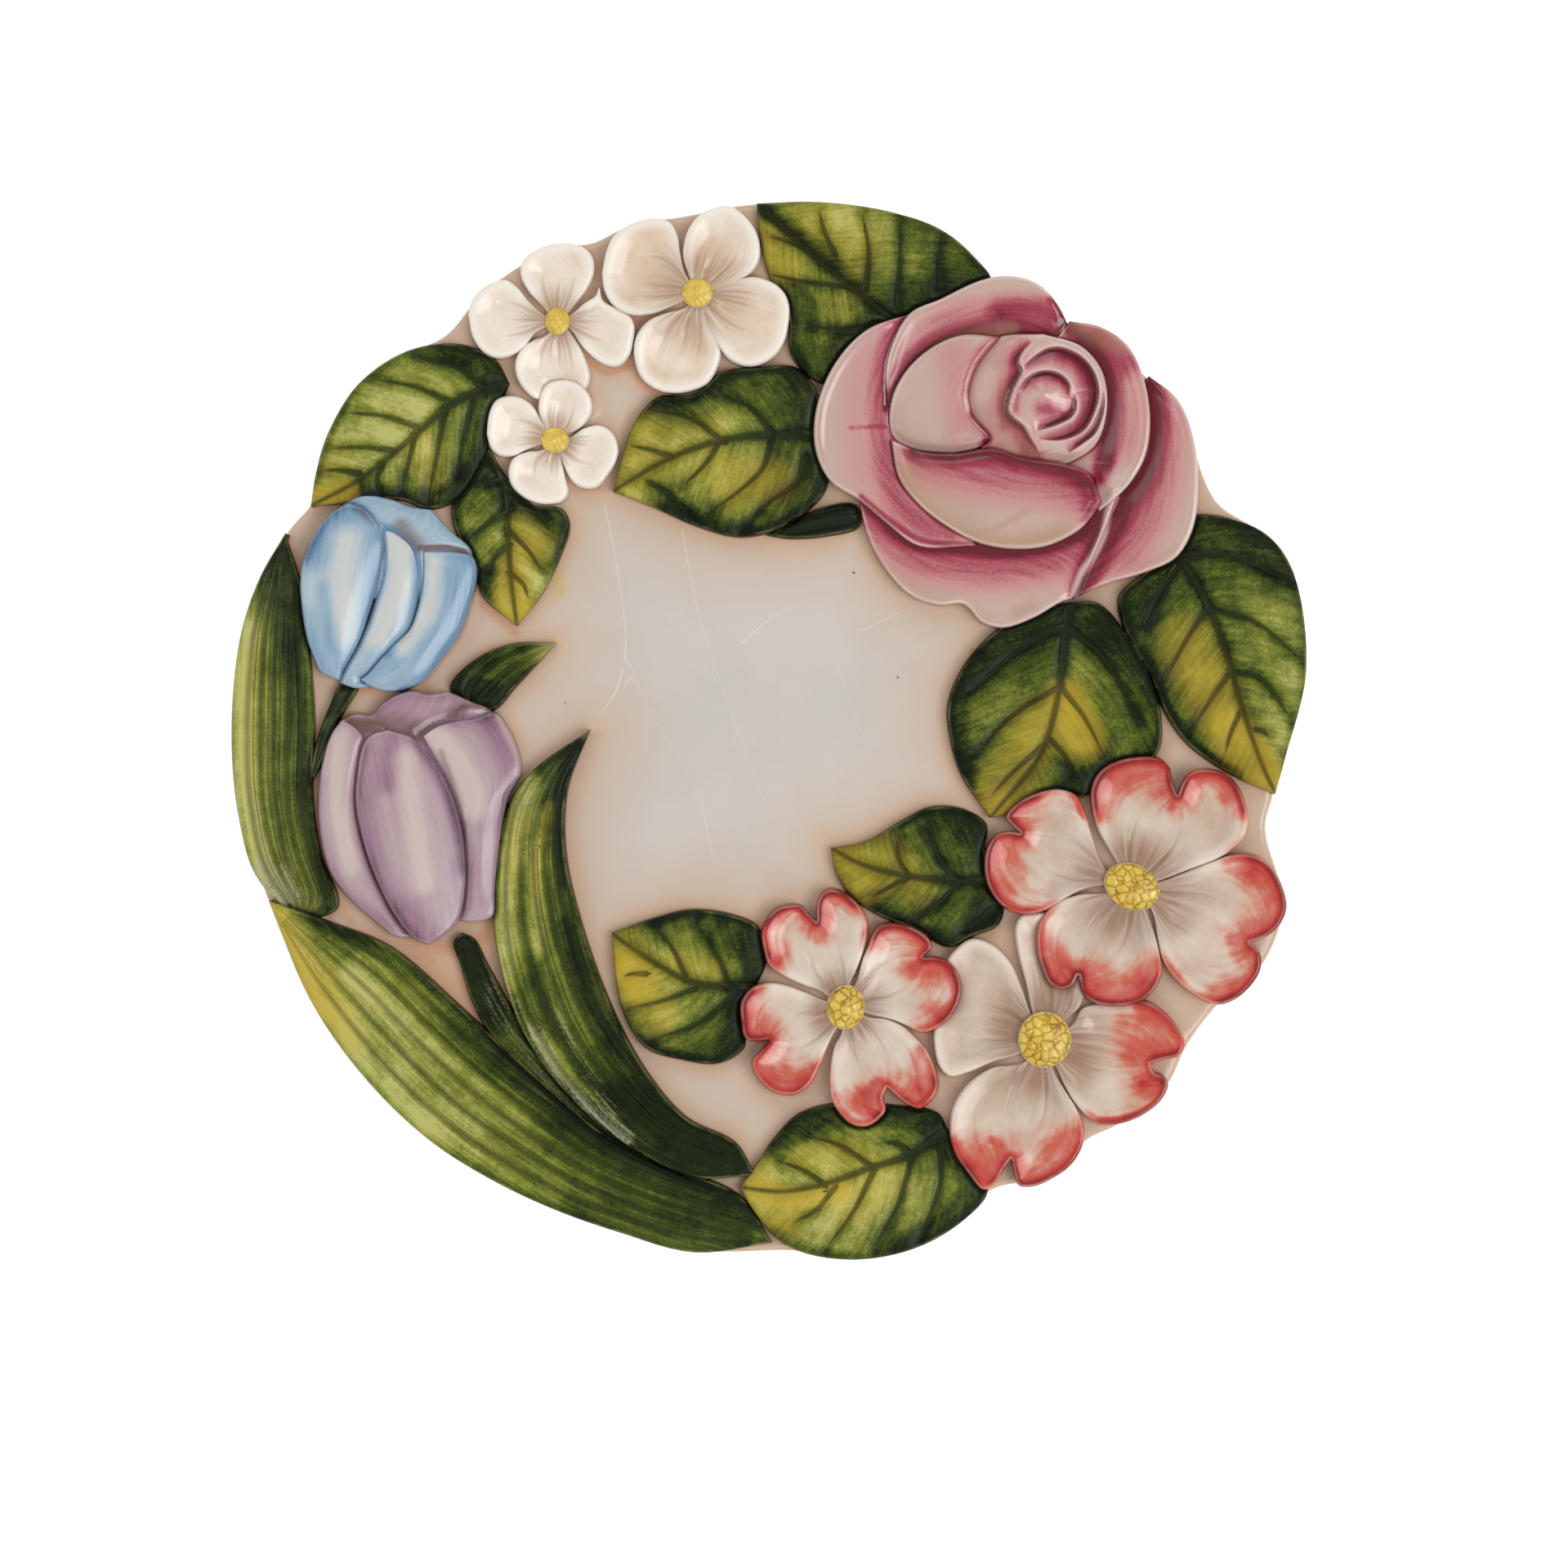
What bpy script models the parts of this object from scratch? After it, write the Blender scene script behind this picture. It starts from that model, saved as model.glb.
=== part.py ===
"""A decorative relief plate in hand-painted glazed earthenware.

It is one moulded piece: a shallow dish on a foot ring, with a wreath of leaves, blossoms, two tulips and a rose that
stand up from its rim. It lies on the foot ring with its face up. Lengths are in millimetres, and a place on the face
is (x, y) from the plate's middle, with +X to the right and +Y to the top of the picture.
"""

import math
from collections import namedtuple

import bmesh
import bpy
import numpy as np

MM = 0.001
FULL_TURN = 2 * math.pi

# The dish. Its face rises from the well to the rim, and its wall has one thickness all over.
WELL_HEIGHT = 12.0
WELL_RADIUS = 58.0
RIM_HEIGHT = 18.0
RIM_RADIUS = 125.0
WALL = 4.8
EDGE_ROUND = 1.5
FACE_RINGS = (80.0, 104.0)
TURN_STEPS = 78

# The foot ring, and the two small holes through it that a hanging wire goes through
FOOT_OUTER = 76.0
FOOT_INNER = 71.0
FOOT_SPLAY = 2.0
HOLE_DIAMETER = 3.5
HOLE_HEIGHT = 3.4
HOLE_ANGLES = (80.0, 100.0)

# The rim's wavy outline, from the left blade's tip clockwise
EDGE = [
    (-118.7, 48.5), (-112.3, 56.5), (-108.1, 72.9), (-100.5, 84.9), (-88.5, 92.9), (-79.5, 97.3), (-70.5, 107.7),
    (-52.5, 118.9), (-44.1, 119.7), (-34.5, 124.1), (-21.5, 126.3), (-0.5, 129.5), (41.5, 122.7), (53.5, 110.7),
    (60.5, 110.7), (69.5, 105.3), (73.9, 99.7), (83.5, 96.9), (92.7, 86.5), (100.5, 78.9), (109.5, 56.5),
    (121.5, 47.9), (129.5, 32.9), (131.3, 16.9), (123.5, -16.1), (121.7, -24.1), (126.1, -43.1), (120.5, -58.1),
    (110.5, -66.7), (102.5, -77.1), (97.5, -87.1), (85.5, -96.7), (77.5, -100.7), (70.5, -109.1), (54.5, -112.7),
    (45.5, -121.1), (33.5, -127.1), (18.5, -129.3), (5.5, -127.7), (-18.5, -127.5), (-52.5, -117.1),
    (-84.5, -99.1), (-112.5, -65.5), (-128.5, -25.1), (-131.3, -7.1), (-129.1, 24.9),
]
EDGE_INSET = 0.4

# How the raised shapes are bedded in the dish: their walls go this far under its face, and near the rim their
# feet draw in under the edge, which leaves the outline to the shapes themselves.
BEDDING = 2.3
FOOT_TUCK = 1.4

# Rows along each raised shape and columns across it
LEAF_GRID = (10, 4)
BLADE_GRID = (11, 6)
STEM_GRID = (7, 2)
PETAL_GRID = (8, 2)
TULIP_GRID = (8, 4)
ROSE_GRID = (9, 4)
CURL_GRID = (8, 2)
BEAD_TURNS = 10
BEAD_RINGS = 6
SPAN_POINTS = 8

# A shape with a base and a tip, the places that its two side edges pass through between them, and its rib's.
# The height is that of its side edges over the face of the dish.
Shape = namedtuple("Shape", "height base tip left right rib", defaults=[()])

LEAF_SWELL = 1.1
LEAF_GROOVE = 0.9
GROOVE_REACH = 0.3

LEAVES = {
    "top_leaf": Shape(
        3.0, base=(-3.3, 128.9), tip=(45.5, 92.9),
        left=[(11.5, 129.3), (28.5, 127.1), (41.5, 122.7), (49.5, 116.3), (54.7, 108.5)],
        right=[(-2.5, 120.9), (-0.1, 110.9), (4.5, 101.9), (5.1, 92.5), (12.1, 85.5), (27.5, 84.9)],
        rib=[(11.5, 115.3), (28.5, 101.9)],
    ),
    "left_top_leaf": Shape(
        3.2, base=(-63.7, 84.9), tip=(-112.3, 54.9),
        left=[(-67.3, 90.9), (-76.5, 94.5), (-88.5, 92.9), (-100.5, 84.9), (-108.1, 72.7), (-110.9, 63.5)],
        right=[(-67.9, 74.9), (-70.5, 65.9), (-76.5, 56.9), (-83.5, 54.3), (-90.5, 56.5), (-102.5, 55.7)],
        rib=[(-76.5, 80.7), (-88.5, 70.7), (-100.5, 61.3)],
    ),
    "small_leaf": Shape(
        2.8, base=(-68.9, 69.3), tip=(-62.1, 25.7),
        left=[(-74.5, 62.5), (-77.9, 54.5), (-76.5, 47.9), (-72.5, 40.9), (-70.5, 33.3)],
        right=[(-63.5, 60.9), (-58.1, 55.5), (-51.3, 54.5), (-49.3, 50.5), (-51.7, 42.5), (-55.9, 33.9)],
        rib=[(-64.7, 58.9), (-64.3, 48.9), (-63.5, 36.9)],
    ),
    "centre_top_leaf": Shape(
        3.6, base=(12.1, 72.9), tip=(-38.5, 58.7),
        left=[(11.5, 82.9), (6.5, 88.9), (-3.5, 88.9), (-11.5, 87.9), (-18.5, 82.5), (-27.5, 81.7), (-33.5, 74.9)],
        right=[(14.1, 66.5), (13.5, 58.9), (3.5, 50.3), (-7.5, 47.7), (-18.5, 50.5), (-28.5, 54.9)],
        rib=[(0.5, 72.5), (-11.5, 71.3), (-24.5, 66.9), (-32.5, 62.5)],
    ),
    "stem_leaf": Shape(
        2.2, base=(22.9, 52.5), tip=(-0.9, 47.9),
        left=[(20.5, 55.7), (11.5, 54.3), (4.5, 50.9)],
        right=[(21.5, 49.9), (13.5, 47.9), (5.5, 47.3)],
        rib=[(11.5, 50.7)],
    ),
    "inner_right_leaf": Shape(
        3.6, base=(73.5, 31.5), tip=(53.9, -21.3),
        left=[(65.5, 29.9), (55.9, 24.9), (47.9, 16.5), (43.7, 6.5), (44.3, -2.1), (47.1, -11.1)],
        right=[(80.5, 31.3), (87.1, 23.9), (92.5, 14.9), (95.7, 2.9), (94.7, -5.5), (83.5, -13.1), (67.5, -19.1)],
        rib=[(72.1, 20.9), (70.9, 10.9), (66.5, -5.1)],
    ),
    "outer_right_leaf": Shape(
        3.0, base=(99.5, 43.7), tip=(123.5, -15.5),
        left=[(91.5, 38.5), (85.5, 32.9), (86.7, 25.3), (92.5, 14.5), (97.1, 3.9), (102.5, -3.5), (113.5, -11.1)],
        right=[(102.7, 52.1), (111.5, 52.1), (121.5, 47.9), (127.9, 38.9), (131.1, 14.9), (126.1, -6.1)],
        rib=[(106.5, 31.9), (111.5, 18.9), (115.5, 4.9), (120.1, -8.1)],
    ),
    "centre_right_leaf": Shape(
        3.2, base=(54.7, -36.7), tip=(14.9, -28.7),
        left=[(52.7, -29.1), (53.1, -23.1), (47.5, -19.3), (39.5, -18.7), (32.5, -21.9), (23.5, -27.1)],
        right=[
            (57.3, -43.1), (55.9, -47.5), (49.5, -50.3), (43.5, -52.9),
            (35.5, -48.7), (26.5, -45.1), (19.5, -40.1), (15.9, -34.1),
        ],
        rib=[(45.5, -36.7), (33.5, -35.5), (22.5, -32.7)],
    ),
    "inner_bottom_leaf": Shape(
        3.2, base=(-3.5, -62.7), tip=(-38.9, -49.5),
        left=[(-1.1, -57.1), (-3.1, -48.1), (-9.5, -45.1), (-19.5, -43.9), (-29.5, -46.3)],
        right=[
            (-7.5, -69.1), (-6.1, -77.1), (-12.5, -81.3), (-21.5, -80.5),
            (-30.5, -77.5), (-35.9, -69.1), (-38.1, -59.1),
        ],
        rib=[(-18.5, -61.7), (-28.5, -56.7), (-34.9, -52.5)],
    ),
    "bottom_leaf": Shape(
        3.2, base=(43.5, -97.5), tip=(-7.5, -111.5),
        left=[(41.1, -93.5), (31.5, -91.9), (17.5, -91.1), (7.1, -93.9), (1.1, -99.7), (-3.3, -106.1)],
        right=[(48.1, -105.1), (53.3, -112.3), (47.5, -119.5), (35.5, -126.5), (19.5, -129.3), (4.5, -126.1),
               (-3.5, -118.1)],
        rib=[(33.5, -103.9), (24.5, -106.7), (13.5, -110.7), (2.5, -112.5)],
    ),
}

BLADE_SWELL = 0.5
BLADE_RIPPLE = 0.45
BLADE_WAVES = 3
SLIM = ("stem_blade", "short_blade", "blue_stem")

BLADES = {
    "left_blade": Shape(
        3.0, base=(-115.5, -47.1), tip=(-118.5, 48.3),
        left=[(-125.9, -35.1), (-129.9, -21.1), (-131.5, -7.1), (-131.3, 8.9), (-129.1, 24.9), (-124.5, 37.9)],
        right=[(-105.7, -43.1), (-109.9, -30.1), (-111.9, -16.1), (-111.5, 2.9), (-112.7, 18.9), (-114.5, 34.9)],
    ),
    "bottom_blade": Shape(
        3.6, base=(0.5, -125.1), tip=(-122.5, -41.5),
        left=[(-7.5, -113.5), (-24.5, -108.3), (-40.5, -100.7), (-56.5, -87.1), (-74.5, -68.7), (-92.5, -53.1),
              (-106.5, -47.1)],
        right=[(-18.5, -127.5), (-36.5, -122.7), (-52.5, -117.1), (-68.5, -109.5), (-84.5, -99.1), (-100.5, -83.1),
               (-112.5, -65.5)],
    ),
    "stem_blade": Shape(
        2.8, base=(-14.5, -112.1), tip=(-75.3, -49.5),
        left=[(-28.5, -106.1), (-42.5, -98.1), (-56.5, -86.1), (-68.5, -73.5), (-75.3, -59.1)],
        right=[(-28.5, -102.7), (-43.5, -93.1), (-55.5, -80.1), (-64.5, -67.1), (-70.9, -55.1)],
    ),
    "middle_blade": Shape(
        4.2, base=(-3.5, -108.7), tip=(-44.1, 0.3),
        left=[
            (-18.5, -109.1), (-34.5, -101.5), (-48.5, -90.1), (-60.5, -73.5),
            (-66.9, -53.1), (-67.3, -35.1), (-64.1, -18.1), (-57.5, -9.1),
        ],
        right=[(-8.5, -100.7), (-20.5, -94.7), (-30.5, -83.1), (-39.5, -66.1), (-46.9, -45.1), (-50.3, -29.1),
               (-49.7, -14.1)],
    ),
    "short_blade": Shape(
        2.8, base=(-72.5, 5.7), tip=(-52.5, 21.7),
        left=[(-78.5, 10.5), (-72.9, 17.1), (-63.5, 21.3)],
        right=[(-67.7, 5.3), (-62.5, 10.9), (-57.3, 16.5)],
    ),
    "blue_stem": Shape(
        2.6, base=(-111.7, -12.1), tip=(-102.9, 12.5),
        left=[(-112.9, -10.1), (-110.9, -2.1), (-108.1, 5.3)],
        right=[(-109.7, -9.1), (-106.1, 0.9), (-102.1, 6.5)],
    ),
}

# A four-petalled blossom. Each petal points at an angle, counted anticlockwise from +X. Its end has two lobes with a
# notch between them: here are the reach of the notch and of each lobe from the blossom's middle, and the width of each
# half. The rim is the height of a petal's edge, the throat that of its narrow start, and the dish how far its middle
# is hollowed. The bead is the button in the middle: its half length, half width, turn and top.
PETAL_OVERLAP = 1.2
Petal = namedtuple("Petal", "angle notch left_reach right_reach left_width right_width")
Bead = namedtuple("Bead", "long short turn top")
Blossom = namedtuple("Blossom", "centre rim throat dish bead petals")

BLOSSOMS = {
    "large_blossom": Blossom(
        (-17.9, 107.1), rim=4.6, throat=3.2, dish=1.0, bead=Bead(3.9, 3.8, 0.0, 5.0),
        petals=[
            Petal(150.0, 24.0, 23.4, 23.4, 11.8, 10.8),
            Petal(62.7, 21.6, 20.8, 21.6, 9.2, 8.6),
            Petal(-30.9, 24.8, 23.6, 24.2, 10.8, 10.0),
            Petal(253.1, 24.6, 24.0, 23.6, 10.2, 10.8),
        ],
    ),
    "middle_blossom": Blossom(
        (-52.1, 100.1), rim=4.0, throat=2.8, dish=0.9, bead=Bead(3.4, 3.2, 90.0, 4.5),
        petals=[
            Petal(87.6, 19.4, 18.4, 19.2, 9.4, 9.0),
            Petal(178.0, 21.8, 21.2, 20.8, 10.0, 10.0),
            Petal(265.6, 18.4, 18.0, 17.6, 8.8, 9.8),
            Petal(-18.4, 19.8, 19.4, 19.4, 8.4, 7.2),
        ],
    ),
    "small_blossom": Blossom(
        (-52.9, 71.3), rim=4.4, throat=3.2, dish=0.8, bead=Bead(3.5, 3.2, 0.0, 4.9),
        petals=[
            Petal(158.2, 16.6, 16.0, 16.4, 8.4, 6.8),
            Petal(72.6, 15.0, 14.4, 14.6, 6.4, 6.2),
            Petal(-30.3, 17.0, 16.2, 16.8, 9.0, 6.6),
            Petal(253.8, 16.6, 16.0, 16.6, 6.8, 7.2),
        ],
    ),
    "large_dogwood": Blossom(
        (88.5, -38.1), rim=5.4, throat=3.8, dish=1.2, bead=Bead(7.2, 5.6, -27.0, 6.4),
        petals=[
            Petal(156.0, 30.6, 35.2, 33.6, 16.4, 14.6),
            Petal(65.4, 26.4, 30.8, 35.6, 18.6, 19.4),
            Petal(-24.1, 31.8, 36.8, 37.6, 17.8, 19.4),
            Petal(-118.8, 25.8, 30.0, 30.4, 17.0, 15.2),
        ],
    ),
    "small_dogwood": Blossom(
        (18.5, -67.7), rim=5.0, throat=3.6, dish=1.0, bead=Bead(5.6, 4.8, 80.0, 6.0),
        petals=[
            Petal(110.0, 23.6, 28.4, 29.2, 14.8, 12.2),
            Petal(30.6, 24.0, 26.0, 28.4, 13.4, 16.0),
            Petal(-64.1, 22.0, 30.4, 28.4, 14.2, 13.4),
            Petal(204.4, 20.8, 28.0, 25.6, 15.2, 13.8),
        ],
    ),
    "lower_dogwood": Blossom(
        (67.1, -75.5), rim=4.4, throat=3.4, dish=0.9, bead=Bead(7.0, 6.6, 90.0, 6.0),
        petals=[
            Petal(165.0, 28.0, 27.0, 28.0, 15.2, 19.6),
            Petal(88.0, 30.0, 30.0, 30.0, 6.8, 9.0),
            Petal(-11.2, 29.0, 33.6, 32.4, 14.0, 17.8),
            Petal(253.3, 29.2, 36.8, 37.6, 16.8, 17.4),
        ],
    ),
}

TULIP_SWELL = 1.6

TULIP_PETALS = {
    "blue_back_petal": Shape(
        3.8, base=(-108.5, 38.9), tip=(-80.5, 50.9),
        left=[(-108.5, 50.9), (-100.5, 57.3), (-90.5, 56.9)],
        right=[(-92.5, 30.9), (-76.5, 34.9), (-73.5, 45.3)],
    ),
    "blue_left_petal": Shape(
        5.0, base=(-103.5, 10.9), tip=(-100.5, 54.5),
        left=[(-109.5, 14.5), (-113.3, 22.9), (-114.9, 36.9), (-112.1, 47.9), (-106.1, 54.5)],
        right=[(-102.1, 18.9), (-97.5, 29.9), (-94.7, 40.9), (-95.7, 49.9)],
    ),
    "blue_middle_petal": Shape(
        3.4, base=(-101.5, 12.3), tip=(-92.5, 50.3),
        left=[(-104.5, 18.9), (-101.5, 29.9), (-99.0, 40.9), (-98.0, 48.5)],
        right=[(-94.5, 15.9), (-86.5, 23.9), (-82.7, 33.9), (-83.5, 42.9)],
    ),
    "blue_right_petal": Shape(
        5.0, base=(-98.5, 10.5), tip=(-86.1, 45.3),
        left=[(-94.5, 18.9), (-87.5, 29.9), (-86.1, 38.9)],
        right=[(-88.5, 10.3), (-79.5, 15.9), (-74.1, 24.9), (-71.9, 35.9), (-73.7, 42.9)],
    ),
    "lilac_back_petal": Shape(
        4.0, base=(-102.5, -13.1), tip=(-74.5, 8.3),
        left=[(-104.5, -2.1), (-97.5, 4.5), (-86.5, 8.9)],
        right=[(-84.5, -13.1), (-64.5, -7.1), (-67.5, 4.5)],
    ),
    "lilac_left_petal": Shape(
        3.6, base=(-85.5, -50.7), tip=(-102.9, 2.9),
        left=[(-94.5, -48.1), (-104.5, -40.1), (-109.5, -29.1), (-111.1, -15.1), (-108.9, -4.1)],
        right=[(-89.9, -45.1), (-95.0, -34.1), (-97.4, -19.1), (-96.8, -6.1)],
    ),
    "lilac_right_petal": Shape(
        3.6, base=(-79.5, -49.1), tip=(-85.5, 0.5),
        left=[(-78.4, -37.1), (-79.6, -19.1), (-84.5, -7.1)],
        right=[(-68.5, -44.7), (-67.1, -33.1), (-64.5, -19.1), (-61.1, -10.1), (-62.9, -1.1), (-67.9, 5.1),
               (-76.5, 3.3)],
    ),
    "lilac_middle_petal": Shape(
        5.4, base=(-83.5, -52.3), tip=(-93.5, 0.3),
        left=[(-92.1, -45.1), (-98.1, -33.1), (-100.9, -18.1), (-99.5, -6.1)],
        right=[(-76.9, -47.1), (-74.3, -33.1), (-75.9, -18.1), (-81.5, -6.1)],
    ),
}

# A petal of the rose. The heights are those of its outer edge, on its left, and of its inner edge, and the bulge is
# how far it swells between them.
RosePetal = namedtuple("RosePetal", "outer inner bulge base tip left right")

ROSE_PETALS = {
    "rose_bottom_petal": RosePetal(
        4.4, 4.2, 0.6, base=(21.5, 57.7), tip=(74.3, 32.5),
        left=[(23.9, 47.9), (28.5, 39.5), (34.5, 33.3), (41.5, 30.9), (47.5, 31.1), (51.9, 26.7), (57.1, 25.3),
              (64.5, 27.7), (71.5, 31.7)],
        right=[(33.5, 58.9), (55.5, 54.9), (82.9, 55.3), (80.5, 42.9)],
    ),
    "rose_outer_right_petal": RosePetal(
        5.0, 4.0, 0.5, base=(92.5, 86.7), tip=(74.3, 32.3),
        left=[(99.5, 80.9), (103.5, 70.9), (104.5, 58.9), (103.1, 48.9), (99.1, 42.3), (91.5, 38.7), (81.5, 35.7)],
        right=[(88.5, 74.9), (85.5, 60.9), (80.5, 46.9)],
    ),
    "rose_outer_left_petal": RosePetal(
        5.6, 5.0, 0.7, base=(34.1, 101.9), tip=(50.5, 45.3),
        left=[(23.5, 97.9), (15.9, 89.9), (11.3, 78.9), (11.1, 68.9), (14.7, 61.3), (21.9, 56.5), (28.5, 50.9),
              (36.5, 45.3)],
        right=[(33.5, 92.9), (32.5, 80.9), (33.5, 68.9), (37.5, 58.9), (44.5, 50.9)],
    ),
    "rose_top_petal": RosePetal(
        6.2, 5.2, 0.7, base=(28.3, 78.9), tip=(74.1, 94.9),
        left=[(28.7, 90.9), (33.9, 101.7), (41.5, 105.3), (51.5, 109.9), (58.5, 110.9), (65.5, 108.9), (70.9, 102.9)],
        right=[(35.5, 82.9), (43.5, 90.9), (55.5, 92.9), (67.5, 92.9)],
    ),
    "rose_inner_right_petal": RosePetal(
        6.6, 5.0, 0.5, base=(73.1, 99.9), tip=(80.5, 53.7),
        left=[(80.5, 98.5), (87.1, 94.1), (91.1, 85.9), (92.7, 75.9), (91.5, 66.9), (87.1, 59.5)],
        right=[(71.5, 92.9), (77.5, 82.9), (78.5, 72.9), (75.5, 62.9)],
    ),
    "rose_cup_petal": RosePetal(
        6.8, 8.4, 0.8, base=(44.5, 67.7), tip=(55.9, 96.1),
        left=[(34.5, 69.1), (29.9, 72.3), (29.5, 79.9), (32.5, 86.9), (38.5, 92.9), (46.5, 96.5)],
        right=[(51.5, 69.3), (53.9, 71.3), (49.5, 76.9), (48.3, 81.9), (50.3, 88.9)],
    ),
    "rose_bud": RosePetal(
        7.2, 7.0, 1.4, base=(63.9, 64.5), tip=(66.5, 96.7),
        left=[(55.9, 67.7), (51.9, 74.9), (49.9, 82.9), (51.5, 90.9), (57.5, 95.3)],
        right=[(73.5, 65.7), (79.5, 69.9), (82.1, 77.9), (81.1, 87.3), (75.9, 93.7)],
    ),
    "rose_front_petal": RosePetal(
        9.0, 6.8, 0.7, base=(29.7, 70.9), tip=(80.7, 55.7),
        left=[(36.5, 68.3), (45.5, 67.7), (53.9, 68.9), (62.5, 66.5), (71.5, 65.1), (77.9, 62.5)],
        right=[(31.5, 61.9), (36.5, 55.3), (43.5, 49.9), (51.5, 45.9), (60.5, 44.5), (68.5, 45.5), (76.5, 49.9)],
    ),
}

# The curled lips that wind round the rose's bud, each a ridge along a path, and the round heart inside them
Curl = namedtuple("Curl", "height width path")

ROSE_CURLS = {
    "rose_outer_curl": Curl(9.0, 3.4, [(64.5, 93.9), (60.5, 88.9), (59.1, 82.5), (57.9, 75.9), (61.5, 71.9), (65.1, 67.3)]),
    "rose_wide_curl": Curl(
        9.2, 3.0, [(62.1, 89.3), (69.5, 92.3), (77.1, 88.5), (79.9, 80.9), (78.5, 72.9), (72.5, 69.1), (63.5, 71.1)]
    ),
    "rose_inner_curl": Curl(
        9.9, 2.6, [(60.9, 80.5), (62.9, 85.5), (68.5, 86.7), (73.5, 84.1), (74.9, 78.5), (71.5, 73.5), (64.1, 74.5)]
    ),
}
ROSE_HEART = Bead(4.2, 3.6, -60.0, 10.6)
ROSE_HEART_CENTRE = (67.5, 79.9)

CREAM_GLAZE = (0.78, 0.70, 0.62, 1.0)
GLAZE_ROUGHNESS = 0.18


def span(four):
    """Points from the second of four places towards the third, on the smooth curve that the four give."""
    knots = np.cumsum([0.0] + [math.sqrt(np.linalg.norm(b - a)) for a, b in zip(four, four[1:])])
    t = np.linspace(knots[1], knots[2], SPAN_POINTS, endpoint=False)[:, None]

    def between(start, end, i, j):
        return (start * (knots[j] - t) + end * (t - knots[i])) / (knots[j] - knots[i])

    first, second, third = (between(four[i], four[i + 1], i, i + 1) for i in range(3))
    return between(between(first, second, 0, 2), between(second, third, 1, 3), 1, 2)


def smooth_line(places, closed=False):
    """Points along the centripetal Catmull-Rom curve through these places."""
    given = np.array(places, float)
    if closed:
        guide = np.vstack([given[-1:], given, given[:2]])
    else:
        guide = np.vstack([2 * given[0] - given[1], given, 2 * given[-1] - given[-2]])
    spans = [span(guide[i : i + 4]) for i in range(len(guide) - 3)]
    return np.vstack(spans if closed else spans + [given[-1:]])


def at_shares(line, shares):
    """The points that lie at these shares of a line's length."""
    steps = np.linalg.norm(np.diff(line, axis=0), axis=1)
    reached = np.concatenate([[0.0], np.cumsum(steps)])
    return np.stack([np.interp(shares * reached[-1], reached, line[:, axis]) for axis in (0, 1)], axis=1)


def smooth_step(value, low, high):
    share = min(max((value - low) / (high - low), 0.0), 1.0)
    return share * share * (3 - 2 * share)


def fullness(along):
    """How much of a raised shape's modelling shows at this share of its length: none at either end."""
    return math.sqrt(max(math.sin(math.pi * along), 0.0))


def face_height(radius):
    """The height of the dish's face at this distance from its middle."""
    return WELL_HEIGHT + (RIM_HEIGHT - WELL_HEIGHT) * smooth_step(radius, WELL_RADIUS, RIM_RADIUS)


EDGE_LINE = smooth_line(EDGE, closed=True)
EDGE_TURNS = np.arctan2(EDGE_LINE[:, 1], EDGE_LINE[:, 0])
EDGE_REACHES = np.hypot(EDGE_LINE[:, 0], EDGE_LINE[:, 1])


def rim_reach(x, y):
    """How far the dish's rim lies from its middle, in the direction of this place."""
    return np.interp(math.atan2(y, x), EDGE_TURNS, EDGE_REACHES, period=FULL_TURN) - EDGE_INSET


def link(bm, name, collection, helper=True):
    """Puts a bmesh that was built in millimetres into the scene, as an object in metres."""
    bmesh.ops.scale(bm, vec=(MM, MM, MM), verts=bm.verts)
    mesh = bpy.data.meshes.new(name)
    bm.to_mesh(mesh)
    bm.free()
    obj = bpy.data.objects.new(name, mesh)
    obj.hide_render = helper
    if helper:
        obj.display_type = "WIRE"
    collection.objects.link(obj)
    return obj


def dish_profile():
    """The dish's section from the middle of its face over the rim and the foot ring to the middle of its underside."""
    edge_top = RIM_HEIGHT
    edge_bottom = RIM_HEIGHT - WALL
    face = [(radius, face_height(radius)) for radius in (0.0, WELL_RADIUS, *FACE_RINGS)]
    edge = [
        (RIM_RADIUS - EDGE_ROUND, edge_top),
        (RIM_RADIUS, edge_top - EDGE_ROUND),
        (RIM_RADIUS, edge_bottom + EDGE_ROUND),
        (RIM_RADIUS - EDGE_ROUND, edge_bottom),
    ]
    root = FOOT_OUTER + FOOT_SPLAY
    well_underside = WELL_HEIGHT - WALL
    foot = [
        (root, face_height(root) - WALL),
        (FOOT_OUTER, 0.0),
        (FOOT_INNER, 0.0),
        (FOOT_INNER - FOOT_SPLAY, well_underside),
        (0.0, well_underside),
    ]
    return face + edge + foot


def draw_out_rim(mesh):
    """Moves the turned dish's rim to the wavy outline, and leaves what is within the foot ring round."""
    for vertex in mesh.vertices:
        x, y, z = vertex.co / MM
        radius = math.hypot(x, y)
        if radius <= FOOT_OUTER + FOOT_SPLAY:
            continue
        pull = smooth_step(radius, FOOT_OUTER + FOOT_SPLAY, RIM_RADIUS)
        new_radius = radius + pull * (rim_reach(x, y) - RIM_RADIUS)
        stretch = new_radius / radius
        z += face_height(new_radius) - face_height(radius)
        vertex.co = (x * stretch * MM, y * stretch * MM, z * MM)


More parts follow.
